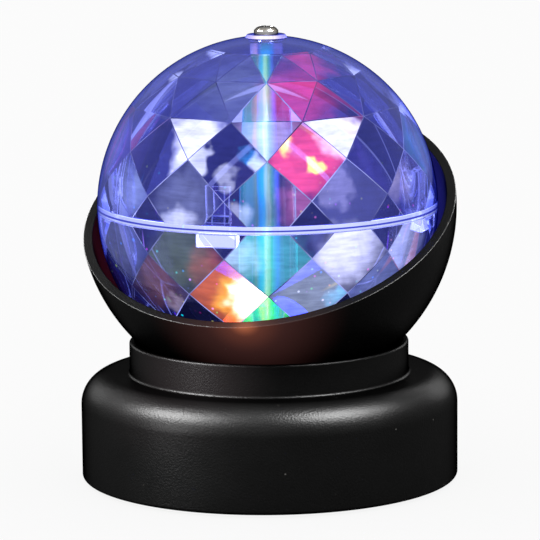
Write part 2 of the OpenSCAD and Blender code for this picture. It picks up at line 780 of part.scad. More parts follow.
module base_shell() {
    difference() {
        rotate_extrude() {
            base_section(0, skirt_z + edge_r);
            translate([0, skirt_z]) square([base_r - edge_r, 2 * edge_r]);
            translate([base_r - edge_r, skirt_z + edge_r]) circle(edge_r);
        }
        rotate_extrude() base_section(shell_wall, 0);
    }
}

// A block centred on the switch, from depth y0 outwards
module switch_block(w, h, y0, y1) {
    translate([-w / 2, y0, switch_z - h / 2]) cube([w, y1 - y0, h]);
}

module base_housing() {
    recess_w = switch_body_w + 2 * (bezel_lip + bezel_margin);
    recess_h = switch_body_h + 2 * (bezel_lip + bezel_margin);
    wall_w = 2 * recess_wall;
    color("black") difference() {
        union() {
            base_shell();
            translate([0, 0, base_h - eps]) difference() {
                cylinder(r = neck_r, h = neck_h + eps);
                translate([0, 0, -over]) cylinder(r = neck_in_r, h = neck_h + 2 * over);
            }
            at_ring(column_ring_r, column_angles) translate([0, 0, plate_top])
                cylinder(r = column_r, h = ceiling_z - plate_top + mould_fit);
            switch_block(recess_w + wall_w, recess_h + wall_w, switch_face_y - shell_wall, switch_face_y);
        }
        switch_block(recess_w, recess_h, switch_face_y, base_r + over);
        switch_block(switch_body_w + 2 * pin_fit, switch_body_h + 2 * pin_fit,
            switch_face_y - shell_wall - over, base_r);
        floor_holes(ceiling_z - over, shell_wall + 2 * over);
        at_ring(column_ring_r, column_angles) translate([0, 0, plate_top - over])
            cylinder(r = screw_r + pin_fit, h = base_screw_l + 2 * over);
    }
}

// The battery bay's outline, grown sideways, between two heights
module bay_block(grow, z0, z1) {
    translate([-bay_half_l - grow, bay_front_y - grow, z0])
        cube([2 * (bay_half_l + grow), bay_w + 2 * grow, z1 - z0]);
}

// A bar along the door's hinge
module hinge_bar(radius, half_l) {
    translate([-half_l, hinge_y, hinge_z]) rotate([0, 90, 0]) cylinder(r = radius, h = 2 * half_l);
}

module base_plate() {
    color("black") difference() {
        union() {
            translate([0, 0, plate_z]) cylinder(r = plate_r, h = plate_t);
            intersection() {
                bay_block(bay_wall, plate_z + eps, bay_top + bay_wall);
                cylinder(r = plate_r - bay_edge, h = base_h);
            }
            for (side = [-1, 1]) at_point(driver_xy + [side * driver_post_dx, 0], plate_top - eps)
                cylinder(r = driver_post_r, h = driver_post_h + eps);
        }
        bay_block(0, plate_z - over, bay_top);
        bay_block(door_lap, plate_z - over, bay_z);
        hinge_bar(hinge_barrel_r + mould_fit, door_half_l + mould_fit);
        translate([-door_half_l - mould_fit, hinge_y, plate_z - over])
            cube([2 * (door_half_l + mould_fit), hinge_relief, hinge_z - plate_z + over]);
        hinge_bar(hinge_pin_r + run_fit, door_half_l + hinge_pin_l);
        for (route = battery_routes) translate(route[0]) rotate([0, route[0][0] < 0 ? -90 : 90, 0])
            cylinder(r = lead_r + pin_fit, h = bay_wall + over);
        at_ring(column_ring_r, column_angles) translate([0, 0, plate_z - over]) {
            cylinder(r = screw_r + pin_fit, h = plate_t + 2 * over);
            cylinder(r = screw_head_r + pin_fit, h = over + plate_t - base_screw_seat);
        }
    }
}

module base_screws() {
    head_h = plate_t - base_screw_seat;
    color("silver") at_ring(column_ring_r, column_angles) translate([0, 0, plate_top - base_screw_seat])
        mirror([0, 0, 1]) pan_screw(screw_r, base_screw_l, screw_head_r, head_h, screw_slot);
}

module feet() {
    color("dimgray") at_ring(foot_ring_r, foot_angles) cylinder(d = foot_d, h = foot_h);
}

module battery_door() {
    color("black") {
        difference() {
            intersection() {
                translate([-door_half_l, door_front_y, plate_z])
                    cube([2 * door_half_l, hinge_y - door_front_y, door_t]);
                cylinder(r = plate_r - mould_fit, h = base_h);
            }
            translate([-finger_notch[0] / 2, door_front_y - over, plate_z - over])
                cube(finger_notch + [0, over, over]);
        }
        hinge_bar(hinge_barrel_r, door_half_l);
        hinge_bar(hinge_pin_r, door_half_l + hinge_pin_l - hinge_pin_gap);
    }
}

module battery_cells() {
    color("darkorange") for (i = [0:cell_count - 1]) {
        side = i % 2 == 0 ? 1 : -1;
        translate([-side * cell_l / 2, cell_y(i), cell_z]) rotate([0, side * 90, 0]) {
            cylinder(d = cell_d, h = cell_l - cell_button_l);
            cylinder(d = cell_button_d, h = cell_l);
        }
    }
}

// Contact plates on the bay's end walls, each with a cone that presses on its cell, and their straps
module battery_contacts() {
    color("gold") {
        for (i = [0:cell_count - 1], side = [-1, 1])
            translate([side * (bay_half_l - contact_fit), cell_y(i), cell_z]) rotate([0, -side * 90, 0]) {
                translate([-contact_size[0] / 2, -contact_size[1] / 2, 0])
                    cube([contact_size[0], contact_size[1], contact_t]);
                cylinder(r1 = contact_cone[0], r2 = contact_cone[1], h = contact_t + contact_reach);
            }
        for (i = [0:cell_count - 2]) {
            side = i % 2 == 0 ? 1 : -1;
            translate([side * (bay_half_l - contact_fit), cell_y(i), cell_z]) rotate([0, -side * 90, 0])
                translate([-contact_size[0] / 4, 0, 0]) cube([contact_size[0] / 2, cell_pitch, contact_t]);
        }
    }
}

module battery_leads() {
    color("firebrick") for (route = battery_routes) lead(route, lead_r);
}

module switch_body() {
    color("dimgray") difference() {
        union() {
            switch_block(switch_body_w, switch_body_h, switch_face_y - switch_depth, switch_face_y + eps);
            switch_block(switch_body_w + 2 * bezel_lip, switch_body_h + 2 * bezel_lip, switch_face_y,
                switch_face_y + bezel_t);
        }
        switch_block(switch_pocket_w, switch_pocket_h, rocker_y - rocker_room, base_r);
        translate([-switch_pocket_w / 2 - rocker_pin_l, rocker_y, switch_z]) rotate([0, 90, 0])
            cylinder(r = rocker_pin_r + run_fit, h = switch_pocket_w + 2 * rocker_pin_l);
    }
}

// The rocker lies at one end of its travel, with its upper half pressed in
module switch_rocker() {
    half_h = rocker_h / 2;
    pin_half_l = switch_pocket_w / 2 + rocker_pin_l - rocker_pin_gap;
    color("firebrick") translate([0, rocker_y, switch_z]) rotate([rocker_travel / 2, 0, 0]) {
        translate([-rocker_w / 2, 0, 0]) rotate([90, 0, 90]) linear_extrude(rocker_w)
            polygon([[rocker_out, half_h], [rocker_out - rocker_dish, 0], [rocker_out, -half_h],
                [-rocker_shoulder, -half_h], [-rocker_back, -half_h / 2], [-rocker_back, half_h / 2],
                [-rocker_shoulder, half_h]]);
        translate([-pin_half_l, 0, 0]) rotate([0, 90, 0]) cylinder(r = rocker_pin_r, h = 2 * pin_half_l);
    }
}

module switch_terminals() {
    color("gold") for (side = [-1, 1])
        translate([0, terminal_y, switch_z + side * terminal_offset])
            translate([-terminal_size[0] / 2, 0, -terminal_size[2] / 2]) cube(terminal_size);
}

module switch_lead() {
    color("firebrick") for (route = switch_routes) lead(route, lead_r);
}

module driver_board() {
    color("seagreen") at_point(driver_xy - driver_size / 2, driver_z)
        cube([driver_size[0], driver_size[1], board_t]);
}

// A chip, a capacitor and the plug of the lamps' lead
module driver_parts() {
    color("dimgray") {
        at_point(driver_xy + chip_at, driver_top) cube(chip_size);
        at_point(driver_xy + capacitor_at, driver_top) cylinder(r = capacitor_r, h = capacitor_h);
        at_point(driver_xy + plug_at, driver_top) cube(plug_size);
    }
}

base_housing();
base_plate();
feet();
base_screws();
battery_cells();
battery_contacts();
battery_door();
battery_leads();
switch_body();
switch_rocker();
switch_terminals();
switch_lead();
driver_board();
driver_parts();
bowl();
clamp_screws();
gear_plate();
motor_can();
motor_cap();
motor_screws();
motor_shaft();
motor_pinion();
motor_leads();
idler_pin();
idler_gear();
output_shaft();
output_gear();
light_deck();
deck_screws();
shaft_bush();
led_board();
red_led();
green_led();
blue_led();
lamp_lead();
upper_dome();
lower_dome();
centre_post();
top_screw();
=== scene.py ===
"""Disco light: a clear faceted globe that turns over three coloured lamps, in a slanted black bowl.

Sizes in the classes are millimetres, and meshes are put into Blender in metres, in the frame's own axes:
+Z is up, -Y is the side that the bowl opens to, and the origin is the table under the globe's axis.
"""

import json
import logging
import math
from dataclasses import dataclass, replace
from enum import Enum

import bmesh
import bpy
import numpy as np
from bpy.types import Material, Mesh, Node, NodeSocket, NodeTree, Object
from mathutils import Matrix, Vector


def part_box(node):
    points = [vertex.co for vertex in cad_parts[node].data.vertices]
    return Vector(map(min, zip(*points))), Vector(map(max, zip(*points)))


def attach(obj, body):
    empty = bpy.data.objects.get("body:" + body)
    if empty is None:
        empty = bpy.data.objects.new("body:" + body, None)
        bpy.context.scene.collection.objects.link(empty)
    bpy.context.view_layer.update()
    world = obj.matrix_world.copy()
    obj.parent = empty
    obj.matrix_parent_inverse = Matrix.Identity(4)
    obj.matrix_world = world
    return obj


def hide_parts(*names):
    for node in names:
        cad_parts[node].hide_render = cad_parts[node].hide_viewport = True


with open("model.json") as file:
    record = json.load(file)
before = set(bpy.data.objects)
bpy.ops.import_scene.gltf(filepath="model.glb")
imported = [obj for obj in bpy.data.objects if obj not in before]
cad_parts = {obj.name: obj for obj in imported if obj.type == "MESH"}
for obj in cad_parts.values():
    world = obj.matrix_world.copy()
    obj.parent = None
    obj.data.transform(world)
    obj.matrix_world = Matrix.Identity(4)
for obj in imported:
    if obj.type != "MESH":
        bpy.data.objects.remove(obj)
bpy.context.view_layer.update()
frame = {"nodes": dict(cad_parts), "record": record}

LOG = logging.getLogger("disco_light")
MM = 0.001
# Height of the globe's centre, where its domes meet, in millimetres
GLOBE_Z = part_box("upper_dome")[0].z / MM
# Azimuth of the camera from -Y, which the parked globe's front and the soft boxes are counted from
FRONT_DEG = 18.2
# Face attributes of the clear pieces: light that a face gives off, and the way that its facet looks
LAMP_LIGHT = "lamp_light"
FACET_WAY = "facet_way"
# Material slots of the clear pieces: their rounded edges, and the domes' turned outside
EDGE_SLOT = 1
OUTSIDE_SLOT = 2
# The span that most of a noise texture's values lie in
NOISE_SPAN = (0.3, 0.7)
WHITE = "#FFFFFF"
GLOBE_TINT = "#8286BE"
POLYSTYRENE_IOR = 1.59
POLYSTYRENE_GLOSS = "#5A5A7C"


def linear(hex_colour: str) -> tuple[float, float, float, float]:
    """Turn an sRGB hex colour into linear red, green, blue and alpha.

    Args:
        hex_colour: six hex digits after a hash sign.

    Returns:
        Linear red, green and blue from 0 to 1, and an alpha of 1.
    """
    channels = np.array([int(hex_colour[i:i + 2], 16) for i in (1, 3, 5)]) / 255.0
    low = channels / 12.92
    high = ((channels + 0.055) / 1.055) ** 2.4
    red, green, blue = np.where(channels <= 0.04045, low, high).tolist()
    return (red, green, blue, 1.0)


def add_node(tree: NodeTree, kind: str, inputs: dict | list | None = None,
             **settings) -> Node:
    """Add a shader node to a tree, with its settings, values and links.

    Args:
        tree: the node tree.
        kind: the node's type name without its "ShaderNode".
        inputs: values by socket name or number, or a list of them in the sockets' order. A value may be an
            output of another node, or that node, which stands for its first output in use.
        settings: attributes of the node itself.

    Returns:
        The new node.
    """
    node = tree.nodes.new("ShaderNode" + kind)
    for name, value in settings.items():
        setattr(node, name, value)
    by_socket = inputs if isinstance(inputs, dict) else dict(enumerate(inputs or []))
    for key, value in by_socket.items():
        if isinstance(value, Node):
            value = next(output for output in value.outputs if output.enabled)
        if isinstance(value, NodeSocket):
            tree.links.new(value, node.inputs[key])
        else:
            node.inputs[key].default_value = value
    return node


def start_material(name: str) -> tuple[Material, NodeTree, NodeSocket]:
    """Make a material whose tree starts from object coordinates.

    Args:
        name: the material's name.

    Returns:
        The material, its tree, and the output that gives object coordinates in metres.
    """
    material = bpy.data.materials.new(name)
    material.use_nodes = True
    tree = material.node_tree
    tree.nodes.clear()
    return material, tree, add_node(tree, "TexCoord").outputs["Object"]


def close_material(material: Material, inputs: dict) -> Material:
    """End a material's tree in one shader.

    Args:
        material: the material, with the nodes that the shader's inputs come from.
        inputs: the shader's inputs by socket name.

    Returns:
        The same material.
    """
    shader = add_node(material.node_tree, "BsdfPrincipled", inputs)
    add_node(material.node_tree, "OutputMaterial", {"Surface": shader})
    return material


def per_mm(size: float) -> float:
    """Scale of a texture on Object coordinates, in metres, for a pattern of this size in millimetres."""
    return 1.0 / (size * MM)


@dataclass(frozen=True)
class Glow:
    """Light painted on a surface round a point, such as a lamp's: place, reach in millimetres, colour and
    strength.
    """

    centre: tuple[float, float, float]
    near: float
    far: float
    colour: str
    strength: float


@dataclass(frozen=True)
class MouldedPlastic:
    """Injection-moulded plastic with a spark-eroded grain: satin, with soft highlights broken by fine specks.

    The real grain is about 0.1 mm, which a pixel can't show, so it is drawn a few times coarser.
    """

    name: str
    colour: str
    roughness: float
    specular: float
    grain_mm: float
    grain_depth: float
    glows: tuple[Glow, ...] = ()
    # Coat tint that darkens the surface more towards its outline: painted shade at the outline
    outline_shade: str = WHITE
    ior: float = 1.54
    flow_mm: float = 26.0
    flow_gloss: float = 0.04
    dust: str = "#9A9894"
    dust_mm: float = 7.0
    dust_share: float = 0.08

    def lamp_light(self, tree: NodeTree, place_at: NodeSocket) -> Node:
        """Add up the glows, each of which fades to nothing between its near and its far reach.

        Args:
            tree: the material's tree.
            place_at: object coordinates.

        Returns:
            The node that gives the sum.
        """
        lit = (0.0, 0.0, 0.0)
        for glow in self.glows:
            centre = tuple(MM * value for value in glow.centre)
            apart = add_node(tree, "VectorMath", [place_at, centre], operation="DISTANCE")
            share = add_node(tree, "MapRange", [apart, glow.far * MM, glow.near * MM, 0.0, glow.strength],
                             interpolation_type="SMOOTHSTEP")
            colour = linear(glow.colour)[:3]
            lit = add_node(tree, "VectorMath", [colour, share, lit], operation="MULTIPLY_ADD")
        return lit

    def material(self) -> Material:
        """Build the material: grain as bump, sparse dust, slow changes of gloss over centimetres, painted
        light from the glows, and painted shade towards the outline.

        Returns:
            The material.
        """
        material, tree, place_at = start_material(self.name)
        grain = add_node(tree, "TexNoise", {
            "Vector": place_at, "Scale": per_mm(self.grain_mm), "Detail": 2.0, "Roughness": 0.6})
        flow = add_node(tree, "TexNoise", {"Vector": place_at, "Scale": per_mm(self.flow_mm), "Detail": 3.0})
        gloss = add_node(tree, "MapRange", [
            flow, *NOISE_SPAN, self.roughness - self.flow_gloss, self.roughness + self.flow_gloss])
        shade = add_node(tree, "MapRange", [grain, *NOISE_SPAN, 0.75, 1.25])
        colour = add_node(tree, "VectorMath", [linear(self.colour)[:3], shade], operation="MULTIPLY")
        bump = add_node(tree, "Bump", {"Height": grain, "Strength": self.grain_depth, "Distance": 0.12 * MM})
        cells = add_node(tree, "TexVoronoi", {"Vector": place_at, "Scale": per_mm(self.dust_mm)})
        speck = add_node(tree, "MapRange", [cells, 0.05, 0.02, 0.0, self.dust_share])
        dusty = add_node(tree, "Mix", {0: speck, 6: colour, 7: linear(self.dust)}, data_type="RGBA")
        inputs = {
            "Base Color": dusty, "Roughness": gloss, "Specular IOR Level": self.specular, "IOR": self.ior,
            "Normal": bump, "Coat Weight": 1.0, "Coat IOR": 1.0, "Coat Tint": linear(self.outline_shade)}
        if self.glows:
            inputs |= {"Emission Color": self.lamp_light(tree, place_at), "Emission Strength": 1.0}
        return close_material(material, inputs)


@dataclass(frozen=True)
class Beam:
    """A patch of light painted on the globe, mostly the lamps': where it falls, how wide it is, its colour
    and its strength.
    """

    azimuth_deg: float
    latitude_deg: float
    radius_deg: float
    soft_deg: float
    colour: str
    strength: float

    def way(self) -> tuple[float, float, float]:
        """Find the unit vector from the globe's middle to the patch's.

        Returns:
            The vector.
        """
        azimuth = math.radians(self.azimuth_deg + FRONT_DEG - 90.0)
        latitude = math.radians(self.latitude_deg)
        level = math.cos(latitude)
        return (level * math.cos(azimuth), level * math.sin(azimuth), math.sin(latitude))

    def light(self) -> tuple[float, float, float, float]:
        """Linear colour times strength."""
        red, green, blue, alpha = linear(self.colour)
        return (red * self.strength, green * self.strength, blue * self.strength, alpha)


@dataclass(frozen=True)
class ClearPlastic:
    """Polished clear polystyrene, tinted by the lamps' light that fills it; each face may give off light."""

    name: str
    tint: str
    # Coat tint that darkens the surface more towards its outline: painted shade at the outline
    outline_shade: str

    def light(self, tree: NodeTree, place_at: NodeSocket,
              glow: Node) -> Node:
        """Give the light of the surface: here only the face attribute's colour.

        Args:
            tree: the material's tree; not used here.
            place_at: object coordinates; not used here.
            glow: the face attribute.

        Returns:
            The node that gives the light.
        """
        return glow

    def material(self) -> Material:
        """Build the material: refraction with faint smudges in its gloss, the surface's light, and painted
        shade towards the outline.

        Returns:
            The material.
        """
        material, tree, place_at = start_material(self.name)
        glow = add_node(tree, "Attribute", attribute_name=LAMP_LIGHT, attribute_type="GEOMETRY")
        smudge = add_node(tree, "TexNoise", {"Vector": place_at, "Scale": per_mm(18.0), "Detail": 5.0})
        haze = add_node(tree, "MapRange", [smudge, 0.45, 0.75, 0.0, 0.05])
        return close_material(material, {
            "Base Color": linear(self.tint), "Roughness": haze, "IOR": POLYSTYRENE_IOR,
            "Specular Tint": linear(POLYSTYRENE_GLOSS), "Transmission Weight": 1.0, "Coat Weight": 1.0,
            "Coat IOR": 1.0, "Coat Tint": linear(self.outline_shade), "Emission Strength": 1.0,
            "Emission Color": self.light(tree, place_at, glow)})


@dataclass(frozen=True)
class FacetedPlastic(ClearPlastic):
    """The same polystyrene with flat facets, each a lens that shows a magnified piece of the lamps' light.

    So the light jumps at the facets' edges and runs evenly inside them. A face attribute holds each facet's
    direction, and the light's attribute has an alpha of 1 where the beams show.
    """

    # Colour of a painted haze of light over the facets, fading downwards
    haze: str
    beams: tuple[Beam, ...]
    spark_mm: float = 3.0
    spark_top_h: float = 25.0
    spark_full_h: float = -15.0
    haze_low_h: float = -25.0
    haze_full_h: float = 5.0
    spread: float = 0.6
    ragged: float = 0.1

    def even_light(self, tree: NodeTree, place_at: NodeSocket) -> Node:
        """Add up a painted haze of light that fades downwards and the beams as seen through the facets.

        The direction that is looked up is the facet's own plus a share of the way from it to the point,
        with a little noise that makes the patches ragged. A beam's light falls to nothing over its soft edge.

        Args:
            tree: the material's tree.
            place_at: object coordinates.

        Returns:
            The node that gives the sum.
        """
        facet = add_node(tree, "Attribute", attribute_name=FACET_WAY, attribute_type="GEOMETRY")
        minus_centre = (0.0, 0.0, -GLOBE_Z * MM)
        from_centre = add_node(tree, "VectorMath", [place_at, minus_centre], operation="ADD")
        here = add_node(tree, "VectorMath", [from_centre], operation="NORMALIZE")
        looked = add_node(tree, "Mix", {0: self.spread, 4: facet.outputs["Vector"], 5: here},
                          data_type="VECTOR", clamp_factor=False)
        ripple = add_node(tree, "TexNoise", {
            "Vector": place_at, "Scale": per_mm(5.0), "Detail": 1.5, "Roughness": 0.5})
        ragged = add_node(tree, "VectorMath", [ripple.outputs["Color"], (0.5, 0.5, 0.5)],
                          operation="SUBTRACT")
        looked = add_node(tree, "VectorMath", [ragged, (self.ragged,) * 3, looked], operation="MULTIPLY_ADD")
        height = add_node(tree, "SeparateXYZ", [place_at]).outputs["Z"]
        fading = add_node(tree, "MapRange", [
            height, (GLOBE_Z + self.haze_low_h) * MM, (GLOBE_Z + self.haze_full_h) * MM, 0.25, 1.0])
        field = add_node(tree, "VectorMath", [linear(self.haze)[:3], fading], operation="MULTIPLY")
        for beam in self.beams:
            outside = math.radians(beam.radius_deg + beam.soft_deg)
            inside = math.radians(max(beam.radius_deg - beam.soft_deg, 0.1))
            apart = add_node(tree, "VectorMath", [looked, beam.way()], operation="DISTANCE")
            share = add_node(tree, "MapRange", [apart, outside, inside, 0.0, 1.0],
                             interpolation_type="SMOOTHSTEP")
            field = add_node(tree, "Mix", {0: share, 6: field, 7: beam.light()},
                             data_type="RGBA", blend_type="ADD", clamp_result=False)
        return field

    def light(self, tree: NodeTree, place_at: NodeSocket,
              glow: Node) -> Node:
        """Break the painted even light with clouds, level streaks and small coloured sparks, all of them
        painted light.

        Args:
            tree: the material's tree.
            place_at: object coordinates.
            glow: the face attribute: its alpha is 1 on facets, and its colour is added.

        Returns:
            The node that gives the light.
        """
        cloud = add_node(tree, "TexNoise", {
            "Vector": place_at, "Scale": per_mm(7.0), "Detail": 4.0, "Roughness": 0.55, "Distortion": 0.8})
        patchy = add_node(tree, "MapRange", [cloud, *NOISE_SPAN, 0.85, 1.12])
        level = add_node(tree, "Mapping", {"Vector": place_at, "Scale": (0.15, 0.15, 1.0)})
        streak = add_node(tree, "TexNoise", {
            "Vector": level, "Scale": per_mm(1.4), "Detail": 3.0, "Roughness": 0.6})
        streaky = add_node(tree, "MapRange", [streak, *NOISE_SPAN, 0.78, 1.18])
        both = add_node(tree, "Math", [patchy, streaky], operation="MULTIPLY")
        uneven = add_node(tree, "VectorMath", [self.even_light(tree, place_at), both], operation="MULTIPLY")
        cells = add_node(tree, "TexVoronoi", {"Vector": place_at, "Scale": per_mm(self.spark_mm)})
        dot = add_node(tree, "MapRange", [cells, 0.17, 0.08, 0.0, 1.0])
        height = add_node(tree, "SeparateXYZ", [place_at]).outputs["Z"]
        low = add_node(tree, "MapRange", [
            height, (GLOBE_Z + self.spark_top_h) * MM, (GLOBE_Z + self.spark_full_h) * MM, 0.0, 1.0])
        near = add_node(tree, "MapRange", [cloud, 0.42, 0.55, 0.0, 1.0])
        shown = add_node(tree, "Math", [dot, low], operation="MULTIPLY")
        spark = add_node(tree, "Math", [shown, near], operation="MULTIPLY")
        vivid = add_node(tree, "HueSaturation", {
            "Saturation": 1.8, "Value": 2.0, "Color": cells.outputs["Color"]})
        sparkling = add_node(tree, "VectorMath", [vivid, spark, uneven], operation="MULTIPLY_ADD")
        return add_node(tree, "VectorMath", [sparkling, glow.outputs["Alpha"], glow.outputs["Color"]],
                        operation="MULTIPLY_ADD")


@dataclass(frozen=True)
class FacetEdge:
    """The rounded edges between facets, which catch the lamps as thin pale lines, brighter in some places."""

    name: str
    colour: str
    strength: float
    dim_h: float
    bright_h: float

    def material(self) -> Material:
        """Build the material: the globe's refraction with a broken pale glow that is brighter lower down.

        Returns:
            The material.
        """
        material, tree, place_at = start_material(self.name)
        breaks = add_node(tree, "TexNoise", {"Vector": place_at, "Scale": per_mm(16.0), "Detail": 2.0})
        share = add_node(tree, "MapRange", [breaks, 0.38, 0.68, 0.1, 1.0])
        height = add_node(tree, "SeparateXYZ", [place_at]).outputs["Z"]
        low = add_node(tree, "MapRange", [
            height, (GLOBE_Z + self.dim_h) * MM, (GLOBE_Z + self.bright_h) * MM, 0.2, 1.0])
        both = add_node(tree, "Math", [share, low], operation="MULTIPLY")
        light = add_node(tree, "VectorMath", [linear(self.colour)[:3], both], operation="MULTIPLY")
        return close_material(material, {
            "Base Color": linear(GLOBE_TINT), "Roughness": 0.05, "IOR": POLYSTYRENE_IOR,
            "Transmission Weight": 1.0, "Specular Tint": linear(POLYSTYRENE_GLOSS), "Emission Color": light,
            "Emission Strength": self.strength})


@dataclass(frozen=True)
class LampLens:
    """Moulded epoxy lens of a lit lamp: tinted and hazy, glowing most at its nose."""

    name: str
    colour: str
    glow: str
    strength: float
    foot_z: float
    nose_z: float

    def material(self) -> Material:
        """Build the material: hazy coloured refraction, with a glow that grows from the flange to the nose.

        Returns:
            The material.
        """
        material, tree, place_at = start_material(self.name)
        height = add_node(tree, "SeparateXYZ", [place_at]).outputs["Z"]
        swirl = add_node(tree, "TexNoise", {"Vector": place_at, "Scale": per_mm(2.0), "Detail": 2.0})
        rise = add_node(tree, "MapRange", [
            height, self.foot_z * MM, self.nose_z * MM, 0.25 * self.strength, self.strength],
            interpolation_type="SMOOTHSTEP")
        share = add_node(tree, "MapRange", [swirl, *NOISE_SPAN, 0.8, 1.1])
        both = add_node(tree, "Math", [rise, share], operation="MULTIPLY")
        light = add_node(tree, "VectorMath", [linear(self.glow)[:3], both], operation="MULTIPLY")
        return close_material(material, {
            "Base Color": linear(self.colour), "Roughness": 0.25, "IOR": 1.54, "Transmission Weight": 0.6,
            "Emission Color": light, "Emission Strength": 1.0})


@dataclass(frozen=True)
class LitRod:
    """Clear acrylic rod that pipes the lamps' light: each side takes the colour of the lamp that it faces."""

    name: str
    tint: str
    ior: float
    stops: tuple[tuple[float, str], ...]
    strength: float
    tints: tuple[tuple[float, str], ...]
    foot_z: float
    top_z: float

    def material(self) -> Material:
        """Build the material: refraction, with a glow whose colour goes round the axis and wavers upwards.

        The glow is tinted by height, because the lamps' colours mix differently along the rod.

        Returns:
            The material.
        """
        material, tree, place_at = start_material(self.name)
        front = add_node(tree, "Mapping", {
            "Vector": place_at, "Rotation": (0.0, 0.0, math.radians(90.0 - FRONT_DEG))})
        turn = add_node(tree, "TexGradient", [front], gradient_type="RADIAL")
        stretched = add_node(tree, "Mapping", {"Vector": place_at, "Scale": (0.3, 0.3, 1.0)})
        waver = add_node(tree, "TexNoise", {"Vector": stretched, "Scale": per_mm(14.0), "Detail": 2.0})
        shift = add_node(tree, "Math", [waver, 0.08, turn.outputs["Fac"]], operation="MULTIPLY_ADD")
        height = add_node(tree, "SeparateXYZ", [place_at]).outputs["Z"]
        rise = add_node(tree, "MapRange", [height, self.foot_z * MM, self.top_z * MM, 0.0, 1.0])
        ramp = add_node(tree, "ValToRGB", [shift])
        tinted = add_node(tree, "ValToRGB", [rise])
        for node, stops in ((ramp, self.stops), (tinted, self.tints)):
            for number, (spot, colour) in enumerate(stops):
                elements = node.color_ramp.elements
                stop = elements[number] if number < 2 else elements.new(spot)
                stop.position = spot
                stop.color = linear(colour)
        along = add_node(tree, "MapRange", [waver, 0.35, 0.65, 0.35 * self.strength, 1.3 * self.strength])
        coloured = add_node(tree, "VectorMath", [ramp, tinted], operation="MULTIPLY")
        light = add_node(tree, "VectorMath", [coloured, along], operation="MULTIPLY")
        return close_material(material, {
            "Base Color": linear(self.tint), "Roughness": 0.03, "IOR": self.ior, "Transmission Weight": 1.0,
            "Emission Color": light, "Emission Strength": 1.0})


@dataclass(frozen=True)
class PlatedMetal:
    """Metal with a thin bright plating over tool marks, mirror-like with fine scratches; its coat tint paints
    shade towards the outline.
    """

    name: str
    colour: str
    roughness: float
    mark_mm: float
    tarnish: str = "#8C8A86"
    tarnish_mm: float = 3.0
    # Coat tint that darkens the metal more towards its outline: painted shade at the outline
    outline_shade: str = WHITE

    def material(self) -> Material:
        """Build the material: tool marks stretched along Z in gloss and bump, and clouds of dull plating.

        Returns:
            The material.
        """
        material, tree, place_at = start_material(self.name)
        stretched = add_node(tree, "Mapping", {"Vector": place_at, "Scale": (1.0, 1.0, 0.15)})
        marks = add_node(tree, "TexNoise", {
            "Vector": stretched, "Scale": per_mm(self.mark_mm), "Detail": 3.0})
        gloss = add_node(tree, "MapRange", [marks, *NOISE_SPAN, 0.7 * self.roughness, 1.4 * self.roughness])
        bump = add_node(tree, "Bump", {"Height": marks, "Strength": 0.15, "Distance": 0.05 * MM})
        cloud = add_node(tree, "TexNoise", {
            "Vector": place_at, "Scale": per_mm(self.tarnish_mm), "Detail": 2.0})
        dull = add_node(tree, "MapRange", [cloud, 0.6, 0.42, 0.0, 0.9])
        colour = add_node(tree, "Mix", {0: dull, 6: linear(self.colour), 7: linear(self.tarnish)},
                          data_type="RGBA")
        return close_material(material, {
            "Base Color": colour, "Metallic": 1.0, "Roughness": gloss, "Normal": bump, "Coat Weight": 1.0,
            "Coat IOR": 1.0, "Coat Tint": linear(self.outline_shade)})


@dataclass(frozen=True)
class CircuitBoard:
    """Glass-fibre board under a coloured solder mask: slightly glossy, with copper tracks showing through."""

    name: str
    mask: str
    track: str
    track_mm: float

    def material(self) -> Material:
        """Build the material: tracks as the joints of a brick pattern, and pits as bump.

        Returns:
            The material.
        """
        material, tree, place_at = start_material(self.name)
        tracks = add_node(tree, "TexBrick", {
            "Vector": place_at, "Color1": linear(self.mask), "Color2": linear(self.mask),
            "Mortar": linear(self.track), "Scale": per_mm(self.track_mm), "Mortar Size": 0.06,
            "Brick Width": 2.4, "Row Height": 0.8})
        pits = add_node(tree, "TexNoise", {"Vector": place_at, "Scale": per_mm(0.8), "Detail": 2.0})
        bump = add_node(tree, "Bump", {"Height": pits, "Strength": 0.2, "Distance": 0.03 * MM})
        gloss = add_node(tree, "MapRange", [pits, *NOISE_SPAN, 0.28, 0.42])
        return close_material(material, {
            "Base Color": tracks, "Roughness": gloss, "IOR": 1.5, "Normal": bump})


def unit(vectors: np.ndarray) -> np.ndarray:
    """Scale each vector to length 1."""
    return vectors / np.linalg.norm(vectors, axis=-1, keepdims=True)


def rounded(corners: list[list[float]], steps: int, closed: bool = False) -> np.ndarray:
    """Round the corners of a flat outline.

    Each corner gives way to an arc that touches both its edges. The arc's centre lies on the corner's
    bisector at radius / sin(half angle), and its points turn by equal angles from one touch to the other.

    Args:
        corners: corners in order, each with its arc's radius above 0 as a third number.
        steps: points on each arc.
        closed: whether the last corner joins the first; an open outline keeps its two ends sharp.

    Returns:
        (m, 2) points of the rounded outline.
    """
    rows = np.array(corners)
    corners = rows[:, :2]
    radii = rows[:, 2]
    back = unit(np.roll(corners, 1, axis=0) - corners)
    ahead = unit(np.roll(corners, -1, axis=0) - corners)
    half = 0.5 * np.arccos(np.clip((back * ahead).sum(axis=1), -1.0, 1.0))
    centre = corners + unit(back + ahead) * (radii / np.sin(half))[:, None]
    reach = (radii / np.tan(half))[:, None]
    first = unit(corners + back * reach - centre)[:, None, :]
    last = unit(corners + ahead * reach - centre)[:, None, :]
    sweep = (math.pi - 2.0 * half)[:, None, None]
    share = np.linspace(0.0, 1.0, steps)[None, :, None]
    arcs = (np.sin((1.0 - share) * sweep) * first + np.sin(share * sweep) * last) / np.sin(sweep)
    points = centre[:, None, :] + radii[:, None, None] * arcs
    if closed:
        return points.reshape(-1, 2)
    return np.vstack([corners[:1], points[1:-1].reshape(-1, 2), corners[-1:]])


def ring_angles(count: int, start_deg: float = 0.0) -> np.ndarray:
    """Equal angles round a circle, in radians, from a start in degrees."""
    return math.radians(start_deg) + np.arange(count) * (2.0 * math.pi / count)


